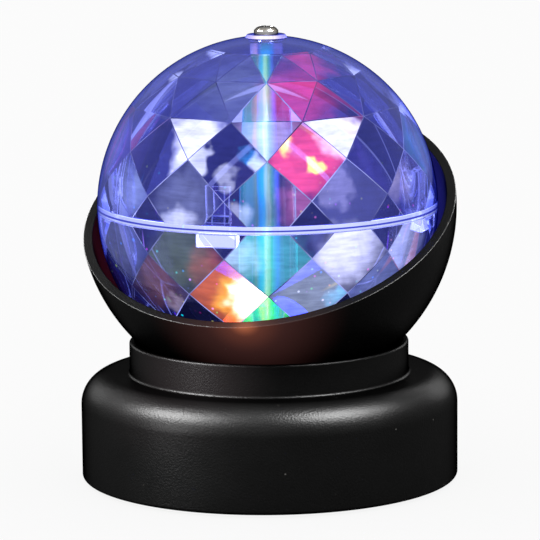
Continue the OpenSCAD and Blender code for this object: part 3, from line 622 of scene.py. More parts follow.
def lathe(profile: np.ndarray, angles: np.ndarray) -> np.ndarray:
    """Turn a profile round Z: radius r and height z at angle a give (r cos a, r sin a, z).

    Args:
        profile: (n, 2) radii and heights.
        angles: (m,) angles in radians.

    Returns:
        (m, n, 3) points, one row for each angle.
    """
    radius = profile[None, :, 0]
    height = np.broadcast_to(profile[None, :, 1], (len(angles), len(profile)))
    return np.stack([radius * np.cos(angles)[:, None], radius * np.sin(angles)[:, None], height], axis=-1)


def grid_faces(rows: int, columns: int, wrap_rows: bool, wrap_columns: bool) -> np.ndarray:
    """Quads between neighbouring points of a grid that is numbered row by row.

    Args:
        rows: points down the grid.
        columns: points across the grid.
        wrap_rows: whether the last row joins the first.
        wrap_columns: whether the last column joins the first.

    Returns:
        (n, 4) point numbers.
    """
    row = np.arange(rows if wrap_rows else rows - 1)[:, None]
    column = np.arange(columns if wrap_columns else columns - 1)[None, :]
    next_row = (row + 1) % rows
    next_column = (column + 1) % columns
    corners = [row * columns + column, next_row * columns + column,
               next_row * columns + next_column, row * columns + next_column]
    return np.stack(corners, axis=-1).reshape(-1, 4)


def turned_solid(profile: np.ndarray, segments: int) -> tuple[np.ndarray, list[np.ndarray]]:
    """Turn a profile that starts and ends on the axis, with one point at each pole.

    Args:
        profile: (n, 2) radii and heights, with radius 0 at both ends.
        segments: points round the axis.

    Returns:
        Points, and groups of faces: quads between the rings and a fan of triangles at each pole.
    """
    inner = profile[1:-1]
    width = len(inner)
    rings = lathe(inner, ring_angles(segments)).reshape(-1, 3)
    poles = np.array([[0.0, 0.0, profile[0, 1]], [0.0, 0.0, profile[-1, 1]]])
    turn = np.arange(segments)
    following = (turn + 1) % segments
    pole = np.full(segments, len(rings))
    first_fan = np.stack([pole, turn * width, following * width], axis=-1)
    last_fan = np.stack([pole + 1, following * width + width - 1, turn * width + width - 1], axis=-1)
    return np.vstack([rings, poles]), [grid_faces(segments, width, True, False), first_fan, last_fan]


def put_mesh(name: str, points: np.ndarray, groups: list[np.ndarray], flat: list[bool] | None = None,
             crease_deg: float = 35.0) -> Object:
    """Put points and groups of faces into a new mesh object, facing outwards.

    Args:
        name: the object's name.
        points: (n, 3) positions in millimetres.
        groups: arrays of point numbers, one row for each face.
        flat: for each group, whether its faces are shaded flat; None shades all smooth.
        crease_deg: edges that turn more than this stay sharp.

    Returns:
        The object, linked to the scene.
    """
    sizes = np.concatenate([np.full(len(group), group.shape[1]) for group in groups])
    loops = np.concatenate([group.ravel() for group in groups]).astype(np.int32)
    starts = np.concatenate([[0], np.cumsum(sizes)[:-1]]).astype(np.int32)
    mesh = bpy.data.meshes.new(name)
    mesh.vertices.add(len(points))
    mesh.vertices.foreach_set("co", (points * MM).astype(np.float32).ravel())
    mesh.loops.add(len(loops))
    mesh.loops.foreach_set("vertex_index", loops)
    mesh.polygons.add(len(sizes))
    mesh.polygons.foreach_set("loop_start", starts)
    mesh.update(calc_edges=True)
    work = bmesh.new()
    work.from_mesh(mesh)
    bmesh.ops.recalc_face_normals(work, faces=work.faces)
    work.to_mesh(mesh)
    work.free()
    mesh.set_sharp_from_angle(angle=math.radians(crease_deg))
    if flat is not None:
        smooth = ~np.concatenate([np.full(len(group), flag) for group, flag in zip(groups, flat)])
        mesh.polygons.foreach_set("use_smooth", smooth)
    piece = bpy.data.objects.new(name, mesh)
    bpy.context.scene.collection.objects.link(piece)
    return piece


def face_centres(mesh: Mesh) -> np.ndarray:
    """Find the middles of a mesh's faces.

    Args:
        mesh: the mesh.

    Returns:
        (n, 3) positions in metres.
    """
    centres = np.empty(3 * len(mesh.polygons), dtype=np.float32)
    mesh.polygons.foreach_get("center", centres)
    return centres.reshape(-1, 3)


def add_bevel(piece: Object, width_mm: float, segments: int, angle_deg: float | None = None,
              slot: int | None = None) -> None:
    """Round a piece's edges.

    Args:
        piece: the mesh object.
        width_mm: width of the rounding.
        segments: strips across it.
        angle_deg: the least turn of an edge that is rounded; None goes by the edges' bevel weights.
        slot: material slot of the rounding; None keeps the material of the faces beside it, and blends the
            shading into theirs.
    """
    bevel = piece.modifiers.new("edge_radius", "BEVEL")
    bevel.width = width_mm * MM
    bevel.segments = segments
    if angle_deg is None:
        bevel.limit_method = "WEIGHT"
    else:
        bevel.limit_method = "ANGLE"
        bevel.angle_limit = math.radians(angle_deg)
    if slot is None:
        bevel.harden_normals = True
    else:
        bevel.material = slot


def place(piece: Object, material: Material, body: str, slot: str, *nodes: str) -> None:
    """Give a piece its material and its body, and hide the CAD nodes that it stands for.

    Args:
        piece: the mesh object.
        material: its finish.
        body: the body that it moves with.
        slot: the record's material slot; not used.
        nodes: CAD nodes that it replaces.
    """
    piece.data.materials.clear()
    piece.data.materials.append(material)
    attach(piece, body)
    if nodes:
        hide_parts(*nodes)
    LOG.info("%s on %s: %d faces", piece.name, body, len(piece.data.polygons))


@dataclass
class Globe:
    """The clear globe: two domes that are smooth outside and faceted inside."""

    outer_r: float = 56.2
    corner_r: float = 53.8
    facets_around: int = 12
    corner_lat_1: float = 9.7
    corner_lat_2: float = 23.2
    crown_lat_1: float = 53.8
    crown_lat_2: float = 69.0
    flange_h: float = 1.2
    flange_w: float = 2.6
    opening_h: float = 40.5
    pad_r: float = 7.2
    pad_slope: float = 1.0
    pad_h: float = 0.6
    pad_draft: float = 0.3
    boss_r: float = 5.4
    boss_drop: float = 2.2
    socket_r: float = 4.3
    socket_depth: float = 3.6
    hole_r: float = 1.6
    ceiling_r: float = 18.0
    ceiling_steps: int = 16
    facet_edge: float = 0.16
    # Coat tint of the polished outside, darker towards its outline: painted shade at the outline
    outline_shade: str = "#E0E3F4"
    # Painted violet haze of light over the facets, fading downwards
    haze: str = "#42467C"
    seam_light: str = "#FFFCD4"
    seam_gain: float = 2.5
    plate_gain: float = 0.3
    edge_light: str = "#E4E6FF"
    edge_gain: float = 1.6
    edge_dim_h: float = 40.0
    edge_bright_h: float = 5.0
    crown_lights: tuple[tuple[str, float], ...] = (
        ("#FFF4EA", 1.5), ("#FFE6A0", 2.0), ("#000000", 0.0), ("#40C8E0", 0.5), ("#40D8F0", 0.9),
        ("#FFFFE0", 10.0))
    crown_side: float = 0.1
    crown_front_deg: float = 30.0
    boss_lights: tuple[tuple[float, str], ...] = (
        (-180.0, "#907F7C"), (-60.0, "#DCC48F"), (-38.0, "#FFC48C"), (-28.0, "#597277"), (-15.0, "#00BC80"),
        (8.0, "#00BC88"), (20.0, "#009C8F"), (32.0, "#80746C"), (180.0, "#907F7C"))
    boss_gain: float = 7.0
    ceiling_light: str = "#283878"
    round_steps: int = 6
    segments: int = 192
    arc_steps: int = 64

    def __post_init__(self) -> None:
        """Make the clear finishes."""
        self.inside = FacetedPlastic(
            "clear polystyrene, faceted inside", GLOBE_TINT, WHITE, self.haze, self.beams()).material()
        self.outside = ClearPlastic("clear polystyrene, polished outside", GLOBE_TINT, self.outline_shade).material()
        self.edge = FacetEdge("clear polystyrene, facet edges", self.edge_light, self.edge_gain,
                              self.edge_dim_h, self.edge_bright_h).material()

    def flat_latitude(self, far: float, middle: float) -> float:
        """Latitude of the fourth corner of a flat rhombus on the corner sphere.

        The line from the far corner through the midpoint between the two middle corners meets the sphere
        again there.

        Args:
            far: latitude of the opposite corner, in degrees.
            middle: latitude of the two side corners, in degrees.

        Returns:
            The latitude in degrees.
        """
        half_step = math.pi / self.facets_around
        far_turn = math.radians(far)
        middle_turn = math.radians(middle)
        start = np.array([math.cos(far_turn), math.sin(far_turn)])
        through = np.array([math.cos(middle_turn) * math.cos(half_step), math.sin(middle_turn)])
        way = through - start
        hit = start - 2.0 * (start @ way) / (way @ way) * way
        return math.degrees(math.atan2(hit[1], hit[0]))

    def corner_rings(self) -> list[np.ndarray]:
        """Corners of the facets of the upper half, ring by ring from below the seam to the crown.

        Returns:
            Six (n, 3) arrays; odd rings are turned by half a facet.
        """
        latitudes = [self.flat_latitude(self.corner_lat_2, self.corner_lat_1), self.corner_lat_1,
                     self.corner_lat_2, self.flat_latitude(self.corner_lat_1, self.corner_lat_2),
                     self.crown_lat_1, self.crown_lat_2]
        step = 360.0 / self.facets_around
        rings = []
        for number, latitude in enumerate(latitudes):
            angles = ring_angles(self.facets_around, FRONT_DEG - 90.0 + (number % 2) * step / 2.0)
            profile = np.array([[math.cos(math.radians(latitude)), math.sin(math.radians(latitude))]])
            rings.append(lathe(self.corner_r * profile, angles)[:, 0, :])
        return rings

    def cut_edges(self, low: np.ndarray, high: np.ndarray, height: float) -> np.ndarray:
        """Points at a height on the straight edges between two rings of corners."""
        share = (height - low[:, 2]) / (high[:, 2] - low[:, 2])
        return low + share[:, None] * (high - low)

    def fan_strip(self, circle: np.ndarray, left: np.ndarray, right: np.ndarray, first: np.ndarray,
                  count: int) -> np.ndarray:
        """Flat faces between an edge of a facet polygon and the arc of a lathe circle beside it.

        Args:
            circle: point numbers round the circle.
            left: point numbers of the edges' left ends.
            right: point numbers of the edges' right ends.
            first: number on the circle that faces each left end.
            count: steps along the circle.

        Returns:
            (n, count + 3) point numbers.
        """
        arc = circle[(first[:, None] + np.arange(count, -1, -1)[None, :]) % len(circle)]
        return np.concatenate([left[:, None], right[:, None], arc], axis=1)

    def dome(self, name: str, profile: np.ndarray, upper: bool) -> Object:
        """Build one dome: a turned outside and flange, and flat facets inside.

        Args:
            name: the piece's name.
            profile: turned outline from the flange's inner edge round the outside to the inside's end.
            upper: True for the crown's dome, False for the open one, which is built upside down.

        Returns:
            The mesh object.
        """
        count = self.facets_around
        rings = self.corner_rings()
        here = np.arange(count)
        after = (here + 1) % count
        before = (here - 1) % count
        turned = lathe(profile, ring_angles(self.segments, FRONT_DEG - 90.0))
        width = len(profile)
        start = turned.shape[0] * width
        seam_left = self.cut_edges(rings[0], rings[1], self.flange_h)
        seam_right = self.cut_edges(np.roll(rings[0], -1, axis=0), rings[1], self.flange_h)
        blocks = [seam_left, seam_right, rings[1], rings[2], rings[3]]
        if upper:
            blocks += [rings[4], rings[5]]
        else:
            blocks += [self.cut_edges(rings[3], rings[4], self.opening_h),
                       self.cut_edges(rings[3], np.roll(rings[4], -1, axis=0), self.opening_h)]
        left, right, one, two, three, four, five = [start + count * i + here for i in range(7)]
        facets = [[left, right, one], [right[before], left, one, two, one[before]],
                  [one, two[after], three, two], [two, three, three[before]]]
        flange_circle = np.arange(self.segments) * width
        end_circle = flange_circle + width - 1
        step = self.segments // count
        middle = here * step + step // 2
        seam_half = self.half_steps(seam_left[0], rings[1][0])
        plates = [
            self.fan_strip(flange_circle, left, right, middle - seam_half, 2 * seam_half),
            self.fan_strip(flange_circle, right[before], left, middle - step + seam_half,
                           step - 2 * seam_half)]
        if upper:
            facets += [[three[before], three, four], [four, four[after], three], [four, four[after], five],
                       [five[before], five, four]]
            plates.append(self.fan_strip(end_circle, five, five[after], middle, step))
        else:
            facets += [[three[before], three, four, five[before]], [three, five, four]]
            cut_half = self.half_steps(blocks[5][0], rings[3][0])
            plates += [
                self.fan_strip(end_circle, four, five, middle - cut_half, 2 * cut_half),
                self.fan_strip(end_circle, five[before], four, middle - step + cut_half, step - 2 * cut_half)]
        points = np.concatenate([turned.reshape(-1, 3)] + blocks)
        if not upper:
            points = points * np.array([1.0, 1.0, -1.0])
        points = points + np.array([0.0, 0.0, GLOBE_Z])
        groups = [grid_faces(self.segments, width, True, False)] + plates
        groups += [np.stack(corners, axis=1) for corners in facets]
        piece = put_mesh(name, points, groups, [False] + [True] * (len(groups) - 1))
        self.light_facets(piece, start, width, [len(group) for group in groups[:3]], upper)
        return piece

    def half_steps(self, side: np.ndarray, middle: np.ndarray) -> int:
        """Count the steps of the lathe circle between a facet's side and its middle.

        Args:
            side: a point on the side.
            middle: a point on the middle line.

        Returns:
            The number of steps.
        """
        turn = math.atan2(middle[1], middle[0]) - math.atan2(side[1], side[0])
        turn = abs((turn + math.pi) % (2.0 * math.pi) - math.pi)
        return round(turn * self.segments / (2.0 * math.pi))

    def light_facets(self, piece: Object, first_corner: int, width: int, counts: list[int],
                     upper: bool) -> None:
        """Round the facets' edges, and write each face's direction and glow as face attributes.

        Args:
            piece: the dome.
            first_corner: number of the first facet corner; points before it belong to the turned part.
            width: points in the turned outline.
            counts: faces of the turned part and of the flange's two groups of plates.
            upper: whether the turned part ends in the crown.
        """
        mesh = piece.data
        ends = np.empty(2 * len(mesh.edges), dtype=np.int32)
        mesh.edges.foreach_get("vertices", ends)
        between_facets = (ends.reshape(-1, 2) >= first_corner).all(axis=1)
        weight = mesh.attributes.new("bevel_weight_edge", "FLOAT", "EDGE")
        weight.data.foreach_set("value", between_facets.astype(np.float32))
        ways = unit(face_centres(mesh) - np.array([0.0, 0.0, GLOBE_Z * MM]))
        way = mesh.attributes.new(FACET_WAY, "FLOAT_VECTOR", "FACE")
        way.data.foreach_set("vector", ways.astype(np.float32).ravel())
        glow = np.zeros((len(ways), 4), dtype=np.float32)
        glow[sum(counts):, 3] = 1.0
        seam = np.array(linear(self.seam_light)[:3])
        turned = np.zeros((self.segments, width - 1, 3), dtype=np.float32)
        # The outline's first two faces are the flange's inner wall and its face at the seam.
        turned[:, :2] = self.seam_gain * seam
        if upper:
            parts = np.array([linear(colour)[:3] for colour, _ in self.crown_lights])
            gains = np.array([gain for _, gain in self.crown_lights])
            crown = np.repeat(parts * gains[:, None], self.round_steps, axis=0)
            # The flange and the outside come before the crown, and the boss's wall and the ceiling after it.
            first = self.arc_steps + 1
            wall = first + len(crown)
            away = (self.face_turns() / self.crown_front_deg) ** 2
            front = self.crown_side + (1.0 - self.crown_side) * np.exp(-away)
            turned[:, first:wall] = front[:, None, None] * crown[None]
            turned[:, wall] = self.boss_gain * self.boss_colours()
            turned[:, wall + 1:] = linear(self.ceiling_light)[:3]
        glow[:counts[0], :3] = turned.reshape(-1, 3)
        glow[counts[0]:sum(counts), :3] = self.plate_gain * seam
        attribute = mesh.attributes.new(LAMP_LIGHT, "FLOAT_COLOR", "FACE")
        attribute.data.foreach_set("color", glow.ravel())
        add_bevel(piece, self.facet_edge, segments=2, slot=EDGE_SLOT)

    def face_turns(self) -> np.ndarray:
        """Azimuths of the turned part's faces from the front, in degrees from -180 to 180."""
        turn = (np.arange(self.segments) + 0.5) * 360.0 / self.segments
        return (turn + 180.0) % 360.0 - 180.0

    def boss_colours(self) -> np.ndarray:
        """Light the boss's wall with colours between the stops, by each face's azimuth from the front.

        Returns:
            (segments, 3) linear colours.
        """
        turn = self.face_turns()
        stops = np.array([stop for stop, _ in self.boss_lights])
        colours = np.array([linear(colour)[:3] for _, colour in self.boss_lights])
        return np.stack([np.interp(turn, stops, channel) for channel in colours.T], axis=-1)

    def beams(self) -> tuple[Beam, ...]:
        """List the patches of painted light on the parked globe, mostly the lamps', by azimuth from its front
        and latitude.

        Returns:
            The beams.
        """
        return (
            # White triangle left of the front, and paler light under it
            Beam(-31.0, 29.5, 8.5, 2.0, "#FFFCEC", 2.9),
            Beam(-35.5, 22.0, 4.0, 1.0, "#FFFFF0", 1.6),
            Beam(-24.0, 23.5, 5.0, 0.8, "#FFFFEC", 1.8),
            Beam(-14.8, 20.3, 2.3, 0.7, "#FFFFEC", 1.1),
            Beam(-31.0, 3.5, 3.5, 2.0, "#FFFFEC", 1.8),
            Beam(-30.0, 10.0, 6.0, 4.0, "#E4ECF0", 0.45),
            # White triangle right of the front, and the red light beside and over it with its yellow spots
            Beam(28.0, 30.5, 8.0, 2.0, "#FFFCEC", 2.9),
            Beam(14.0, 24.0, 8.0, 3.0, "#FF4852", 2.5),
            Beam(9.8, 28.0, 2.2, 0.9, "#FFE020", 4.0),
            Beam(16.6, 22.4, 1.8, 0.7, "#FFE020", 4.5),
            Beam(14.0, 48.0, 11.0, 6.0, "#FF3048", 1.5),
            Beam(34.0, 64.0, 6.0, 4.0, "#FF3048", 1.5),
            # Middle of the front, above and below the seam
            Beam(-18.0, 52.0, 12.0, 8.0, "#E0F0B0", 0.3),
            Beam(0.0, 33.0, 6.0, 4.0, "#FFDCE6", 1.2),
            Beam(7.0, 9.0, 4.5, 2.5, "#FF88A8", 0.9),
            Beam(-6.5, 7.0, 2.5, 1.2, "#FFFFF0", 0.9),
            Beam(27.0, 12.0, 4.0, 1.0, "#F0E4F0", 0.5),
            Beam(28.0, -7.0, 8.0, 5.0, "#FFFCF0", 2.6),
            Beam(-33.0, -9.0, 9.0, 5.0, "#C8E070", 0.4),
            Beam(-24.0, -12.0, 4.0, 3.0, "#FF6020", 0.7),
            Beam(-7.8, 23.0, 2.2, 0.8, "#FFFFFF", 1.8),
            Beam(-10.0, 24.0, 1.6, 0.8, "#20C0F0", 1.0),
            # Lamps by the rim, and what they light round them
            Beam(-1.0, -30.0, 4.5, 3.0, "#40D840", 2.6),
            Beam(-15.0, -22.0, 8.0, 4.0, "#FF7A14", 2.0),
            Beam(-10.0, -24.0, 6.5, 2.5, "#FFD020", 2.0),
            Beam(-9.5, -25.0, 4.0, 2.5, "#FFFFD0", 8.0),
            Beam(2.0, -8.0, 9.0, 5.0, "#73FFE1", 0.9),
            Beam(-6.0, -9.0, 3.5, 2.5, "#F4FFF4", 1.2),
            Beam(15.0, -22.0, 9.0, 5.0, "#E8F4E0", 0.9),
            Beam(56.0, -8.0, 7.0, 4.0, "#FCFFF0", 0.9),
            Beam(55.0, 12.0, 4.0, 3.0, "#FFE8C8", 0.6),
            Beam(-62.0, -8.0, 6.0, 4.0, "#F0FCF0", 0.18),
            Beam(45.0, -22.0, 7.0, 4.0, "#D0DCF0", 0.6),
            Beam(-45.0, -21.0, 5.0, 4.0, "#F09C62", 0.5),
            Beam(-41.0, -26.0, 2.0, 1.0, "#F0D8C0", 0.7),
            Beam(23.0, -24.0, 2.5, 1.5, "#70F0F0", 1.0),
            Beam(-58.0, 10.0, 5.0, 3.0, "#E8F8F0", 0.5),
            # Painted glints near the crown
            Beam(-57.0, 69.0, 3.0, 1.5, "#FFFFEC", 2.2),
            Beam(-68.0, 54.0, 3.0, 1.5, "#FFFFEC", 2.2),
            Beam(88.0, 70.0, 3.0, 1.5, "#FFFFEC", 2.2),
            Beam(68.0, 57.0, 3.0, 1.5, "#FFFFEC", 2.2),
            # Sides and back
            Beam(-80.0, 24.0, 5.0, 3.0, "#A080C0", 0.4),
            Beam(-90.0, -10.0, 8.0, 4.0, "#F4F4FF", 0.9),
            Beam(-105.0, 23.0, 8.0, 4.0, "#FF5A40", 1.4),
            Beam(-120.0, 33.0, 8.0, 4.0, "#FFFFF0", 2.0),
            Beam(-150.0, 10.0, 6.0, 4.0, "#B098E0", 0.4),
            Beam(-165.0, -22.0, 8.0, 4.0, "#A890E0", 0.4),
            Beam(180.0, 32.0, 8.0, 4.0, "#FFFFF0", 2.0),
            Beam(165.0, 24.0, 8.0, 4.0, "#FF3C58", 1.4),
            Beam(150.0, -9.0, 8.0, 4.0, "#F4F4FF", 0.4),
            Beam(120.0, 10.0, 6.0, 4.0, "#A084D8", 0.4),
            Beam(105.0, -23.0, 8.0, 4.0, "#FF7A30", 1.8),
            Beam(90.0, 33.0, 8.0, 4.0, "#FFFFF0", 1.8),
            Beam(80.0, 23.0, 4.0, 3.0, "#50FFC8", 0.4),
        )

    def outside_arc(self, top_latitude: float) -> np.ndarray:
        """Draw the flange and the outside, from the flange's inner edge up to a latitude.

        Args:
            top_latitude: the latitude in degrees.

        Returns:
            (n, 2) radii and heights.
        """
        flange_r = self.corner_r - self.flange_w
        latitudes = np.radians(np.linspace(0.0, top_latitude, self.arc_steps))
        arc = self.outer_r * np.stack([np.cos(latitudes), np.sin(latitudes)], axis=-1)
        return np.vstack([[[flange_r, self.flange_h], [flange_r, 0.0]], arc])

    def upper_profile(self) -> np.ndarray:
        """Draw the upper dome: flange, outside, pad, screw hole, post socket, boss and domed ceiling.

        Returns:
            (n, 2) radii and heights.
        """
        pad_foot_r = self.pad_r - self.pad_draft
        arc = self.outside_arc(math.degrees(math.acos(pad_foot_r / self.outer_r)))
        pad_top = self.outer_r + self.pad_h
        crown_z = self.corner_r * math.sin(math.radians(self.crown_lat_2))
        boss_z = crown_z - self.boss_drop
        socket_z = boss_z + self.socket_depth
        reach = np.linspace(self.boss_r, self.ceiling_r, self.ceiling_steps)
        ceiling = np.stack([reach, np.sqrt(self.corner_r ** 2 - reach ** 2)], axis=-1)
        crown = [[*arc[-1], 0.1], [self.pad_r - self.pad_slope, pad_top, 0.3], [self.hole_r, pad_top, 0.1],
                 [self.hole_r, socket_z, 0.1], [self.socket_r, socket_z, 0.1], [self.socket_r, boss_z, 0.15],
                 [self.boss_r, boss_z, 0.3], [*ceiling[0], 0.1]]
        return np.vstack([arc[:-1], rounded(crown, self.round_steps), ceiling[1:]])

    def build(self) -> None:
        """Build and dress the two domes."""
        opening_latitude = math.degrees(math.asin(self.opening_h / self.outer_r))
        upper = self.dome("globe_upper_dome", self.upper_profile(), upper=True)
        place(upper, self.inside, "globe", "clear_polystyrene", "upper_dome")
        self.add_skin(upper)
        lower = self.dome("globe_lower_dome", self.outside_arc(opening_latitude), upper=False)
        place(lower, self.inside, "globe", "clear_polystyrene", "lower_dome")
        self.add_skin(lower)

    def add_skin(self, dome: Object) -> None:
        """Give a dome the materials of its facet edges and of its turned outside.

        Args:
            dome: the dome, whose facets have an alpha of 1 in their glow attribute.
        """
        dome.data.materials.append(self.edge)
        dome.data.materials.append(self.outside)
        glow = np.empty(4 * len(dome.data.polygons), dtype=np.float32)
        dome.data.attributes[LAMP_LIGHT].data.foreach_get("color", glow)
        turned = glow.reshape(-1, 4)[:, 3] < 0.5
        dome.data.polygons.foreach_set("material_index", OUTSIDE_SLOT * turned.astype(np.int32))


@dataclass
class Clips:
    """The clips that hold the domes together: blocks under the seam, with ribbed tongues above it."""

    count: int = 4
    turn_deg: float = -18.0
    block_w: float = 13.0
    block_low: float = -5.6
    block_high: float = -1.25
    block_out: float = 52.2
    tongue_w: float = 8.2
    tongue_h: float = 13.6
    tongue_in: float = 48.8
    tongue_out: float = 50.4
    tongue_gap: float = 0.05
    hook_out: float = 1.2
    hook_low: float = 2.0
    hook_high: float = 4.0
    rib_w: float = 4.2
    rib_t: float = 0.8
    rib_low: float = 0.6
    rib_high: float = 12.4
    rib_sunk: float = 0.3
    edge_w: float = 0.3
    tint: str = "#E8E8F4"
    # Painted dim haze of light over the tongues, fading downwards
    haze: str = "#141434"
    spark_mm: float = 1.3
    block_light: str = "#FFFFE4"
    block_gain: float = 2.0
    tongue_light: str = "#0A0A14"
    edge_light: str = "#F0F4FF"
    edge_gain: float = 2.0
    edge_dim_h: float = 45.0
    edge_bright_h: float = 25.0

    def build(self) -> None:
        """Build and dress the clips: each is a block under the seam, and a ribbed, hooked tongue above it.

        Each part is a flat side view, in distance from the axis and height, carried across its width.
        """
        tongue_low = self.block_high + self.tongue_gap
        rib_in = self.tongue_in - self.rib_t
        rib_out = self.tongue_in + self.rib_sunk
        block = np.array([[self.tongue_in, self.block_low], [self.block_out, self.block_low],
                          [self.block_out, self.block_high], [self.tongue_in, self.block_high]])
        tongue = np.array([[self.tongue_in, tongue_low], [self.tongue_out, tongue_low],
                           [self.tongue_out, self.hook_low], [self.tongue_out + self.hook_out, self.hook_low],
                           [self.tongue_out, self.hook_high], [self.tongue_out, self.tongue_h],
                           [self.tongue_in, self.tongue_h]])
        rib = np.array([[rib_in, self.rib_low], [rib_out, self.rib_low], [rib_out, self.rib_high],
                        [rib_in, self.rib_high]])
        points = []
        groups = []
        for turn in ring_angles(self.count, FRONT_DEG + self.turn_deg - 90.0).tolist():
            for outline, width in ((block, self.block_w), (tongue, self.tongue_w), (rib, self.rib_w)):
                start = sum(len(item) for item in points)
                count = len(outline)
                here = np.arange(count)
                after = (here + 1) % count
                out = outline[None, :, 0]
                sides = np.array([-0.5, 0.5])[:, None] * width
                heights = np.broadcast_to(outline[None, :, 1] + GLOBE_Z, (2, count))
                ends = [out * math.cos(turn) - sides * math.sin(turn),
                        out * math.sin(turn) + sides * math.cos(turn), heights]
                points.append(np.stack(ends, axis=-1).reshape(-1, 3))
                walls = np.stack([here, after, count + after, count + here], axis=1)
                groups += [start + walls, start + here[None, ::-1], start + count + here[None, :]]
        piece = put_mesh("globe_clips", np.concatenate(points), groups, [True] * len(groups))
        add_bevel(piece, self.edge_w, segments=2, angle_deg=30.0, slot=EDGE_SLOT)
        body = FacetedPlastic("clear polystyrene, clips", self.tint, WHITE, self.haze, (), self.spark_mm)
        edge = FacetEdge("clear polystyrene, clip edges", self.edge_light, self.edge_gain, self.edge_dim_h,
                         self.edge_bright_h)
        place(piece, body.material(), "globe", "clear_polystyrene")
        piece.data.materials.append(edge.material())
        self.light_faces(piece)

    def light_faces(self, piece: Object) -> None:
        """Write each face's glow as a face attribute: bright blocks, and dark tongues with sparks in them.

        Args:
            piece: the clips.
        """
        block_top = GLOBE_Z + self.block_high + 0.5 * self.tongue_gap
        on_block = face_centres(piece.data)[:, 2] < block_top * MM
        block_light = self.block_gain * np.array(linear(self.block_light)[:3])
        glow = np.zeros((len(on_block), 4), dtype=np.float32)
        glow[:, 3] = ~on_block
        glow[:, :3] = np.where(on_block[:, None], block_light, linear(self.tongue_light)[:3])
        attribute = piece.data.attributes.new(LAMP_LIGHT, "FLOAT_COLOR", "FACE")
        attribute.data.foreach_set("color", glow.ravel())


@dataclass
class Post:
    """The clear post on the globe's axis: a rod with a wider hub at its foot, lit by the lamps."""

    rod_r: float = 4.2
    hub_r: float = 6.4
    hub_h: float = 5.0
    round_steps: int = 8
    segments: int = 96
    tint: str = "#EAF6FA"
    ior: float = 1.49
    lights: tuple[tuple[float, str], ...] = (
        (0.0, "#060A20"), (0.1, "#28B890"), (0.14, "#D8FFF8"), (0.2, "#060A20"), (0.44, "#060A20"),
        (0.465, "#806020"), (0.485, "#18A0F0"), (0.51, "#28D0F0"), (0.525, "#E0FCC8"), (0.545, "#C0F498"),
        (0.56, "#18C070"), (0.595, "#1868E0"), (0.62, "#060A20"), (0.8, "#060A20"), (0.86, "#4880F0"),
        (0.89, "#F0F8FF"), (0.94, "#060A20"))
    tints: tuple[tuple[float, str], ...] = ((0.0, "#D8FF8C"), (0.45, WHITE), (0.6, WHITE), (0.9, "#D8FF98"))
    gain: float = 3.6
    lit_low: float = -26.0

    def build(self) -> None:
        """Build and dress the post: its outline, rounded at every edge, turned round the axis."""
        low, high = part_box("centre_post")
        foot = low.z / MM
        top = high.z / MM
        hub_top = foot + self.hub_h
        profile = rounded([
            [0.0, foot, 0.1], [self.hub_r, foot, 0.3], [self.hub_r, hub_top, 0.5], [self.rod_r, hub_top, 0.8],
            [self.rod_r, top, 0.3], [0.0, top, 0.1]], self.round_steps)
        piece = put_mesh("globe_centre_post", *turned_solid(profile, self.segments))
        finish = LitRod("clear acrylic rod, extruded", self.tint, self.ior, self.lights, self.gain,
                        self.tints, GLOBE_Z + self.lit_low, top)
        place(piece, finish.material(), "globe", "clear_polystyrene", "centre_post")


@dataclass
class TopScrew:
    """The screw on the crown: a pan head with a cross recess, and the start of its shank."""

    head_r: float = 4.0
    head_h: float = 2.85
    rim_share: float = 0.45
    rim_r: float = 0.5
    bulge: float = 0.94
    slot_w: float = 1.1
    slot_reach: float = 0.55
    slot_blend: float = 0.12
    shank_r: float = 1.5
    shank_l: float = 4.0
    arc_steps: int = 57
    round_steps: int = 6
    segments: int = 144

    def build(self) -> None:
        """Build and dress the screw, with its recess pressed into a round head.

        The head's height over radius r is an ellipse's arc with a rounded rim. The recess lowers it where
        |x| or |y| is inside half the slot's width and the other one is inside the slot's reach.
        """
        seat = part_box("top_screw")[1].z / MM - self.head_h
        rim_h = self.rim_share * self.head_h
        share = np.linspace(0.0, 1.0, self.arc_steps)[1:]
        dome = rim_h + (self.head_h - rim_h) * np.sqrt(1.0 - (self.bulge * share) ** 2)
        arc = np.stack([share * (self.head_r - self.rim_r), dome], axis=-1)
        rim = rounded([
            [*arc[-1], 0.1], [self.head_r, dome[-1] - self.rim_r, 0.5], [self.head_r, 0.0, 0.2],
            [self.shank_r, 0.0, 0.1], [self.shank_r, -self.shank_l, 0.2], [0.0, -self.shank_l, 0.1]],
            self.round_steps)
        profile = np.vstack([[[0.0, self.head_h]], arc[:-1], rim])
        points, groups = turned_solid(profile, self.segments)
        flat = np.abs(points[:, :2])
        in_width = np.clip((self.slot_w / 2.0 - flat) / self.slot_blend + 0.5, 0.0, 1.0)
        in_reach = np.clip((self.slot_reach * self.head_r - flat) / self.slot_blend + 0.5, 0.0, 1.0)
        recess = np.maximum(in_width[:, 0] * in_reach[:, 1], in_width[:, 1] * in_reach[:, 0])
        on_head = points[:, 2] > rim_h
        points[:, 2] += seat - recess * on_head * (points[:, 2] - 0.5 * rim_h)
        piece = put_mesh("globe_top_screw", points, groups)
        # The coat tint paints shade on the head, darker towards its outline.
        finish = PlatedMetal("zinc-plated steel, bright", WHITE, 0.12, 0.4, "#E4DCCC", outline_shade="#B4B4B4")
        place(piece, finish.material(), "globe", "zinc_plated_steel", "top_screw")


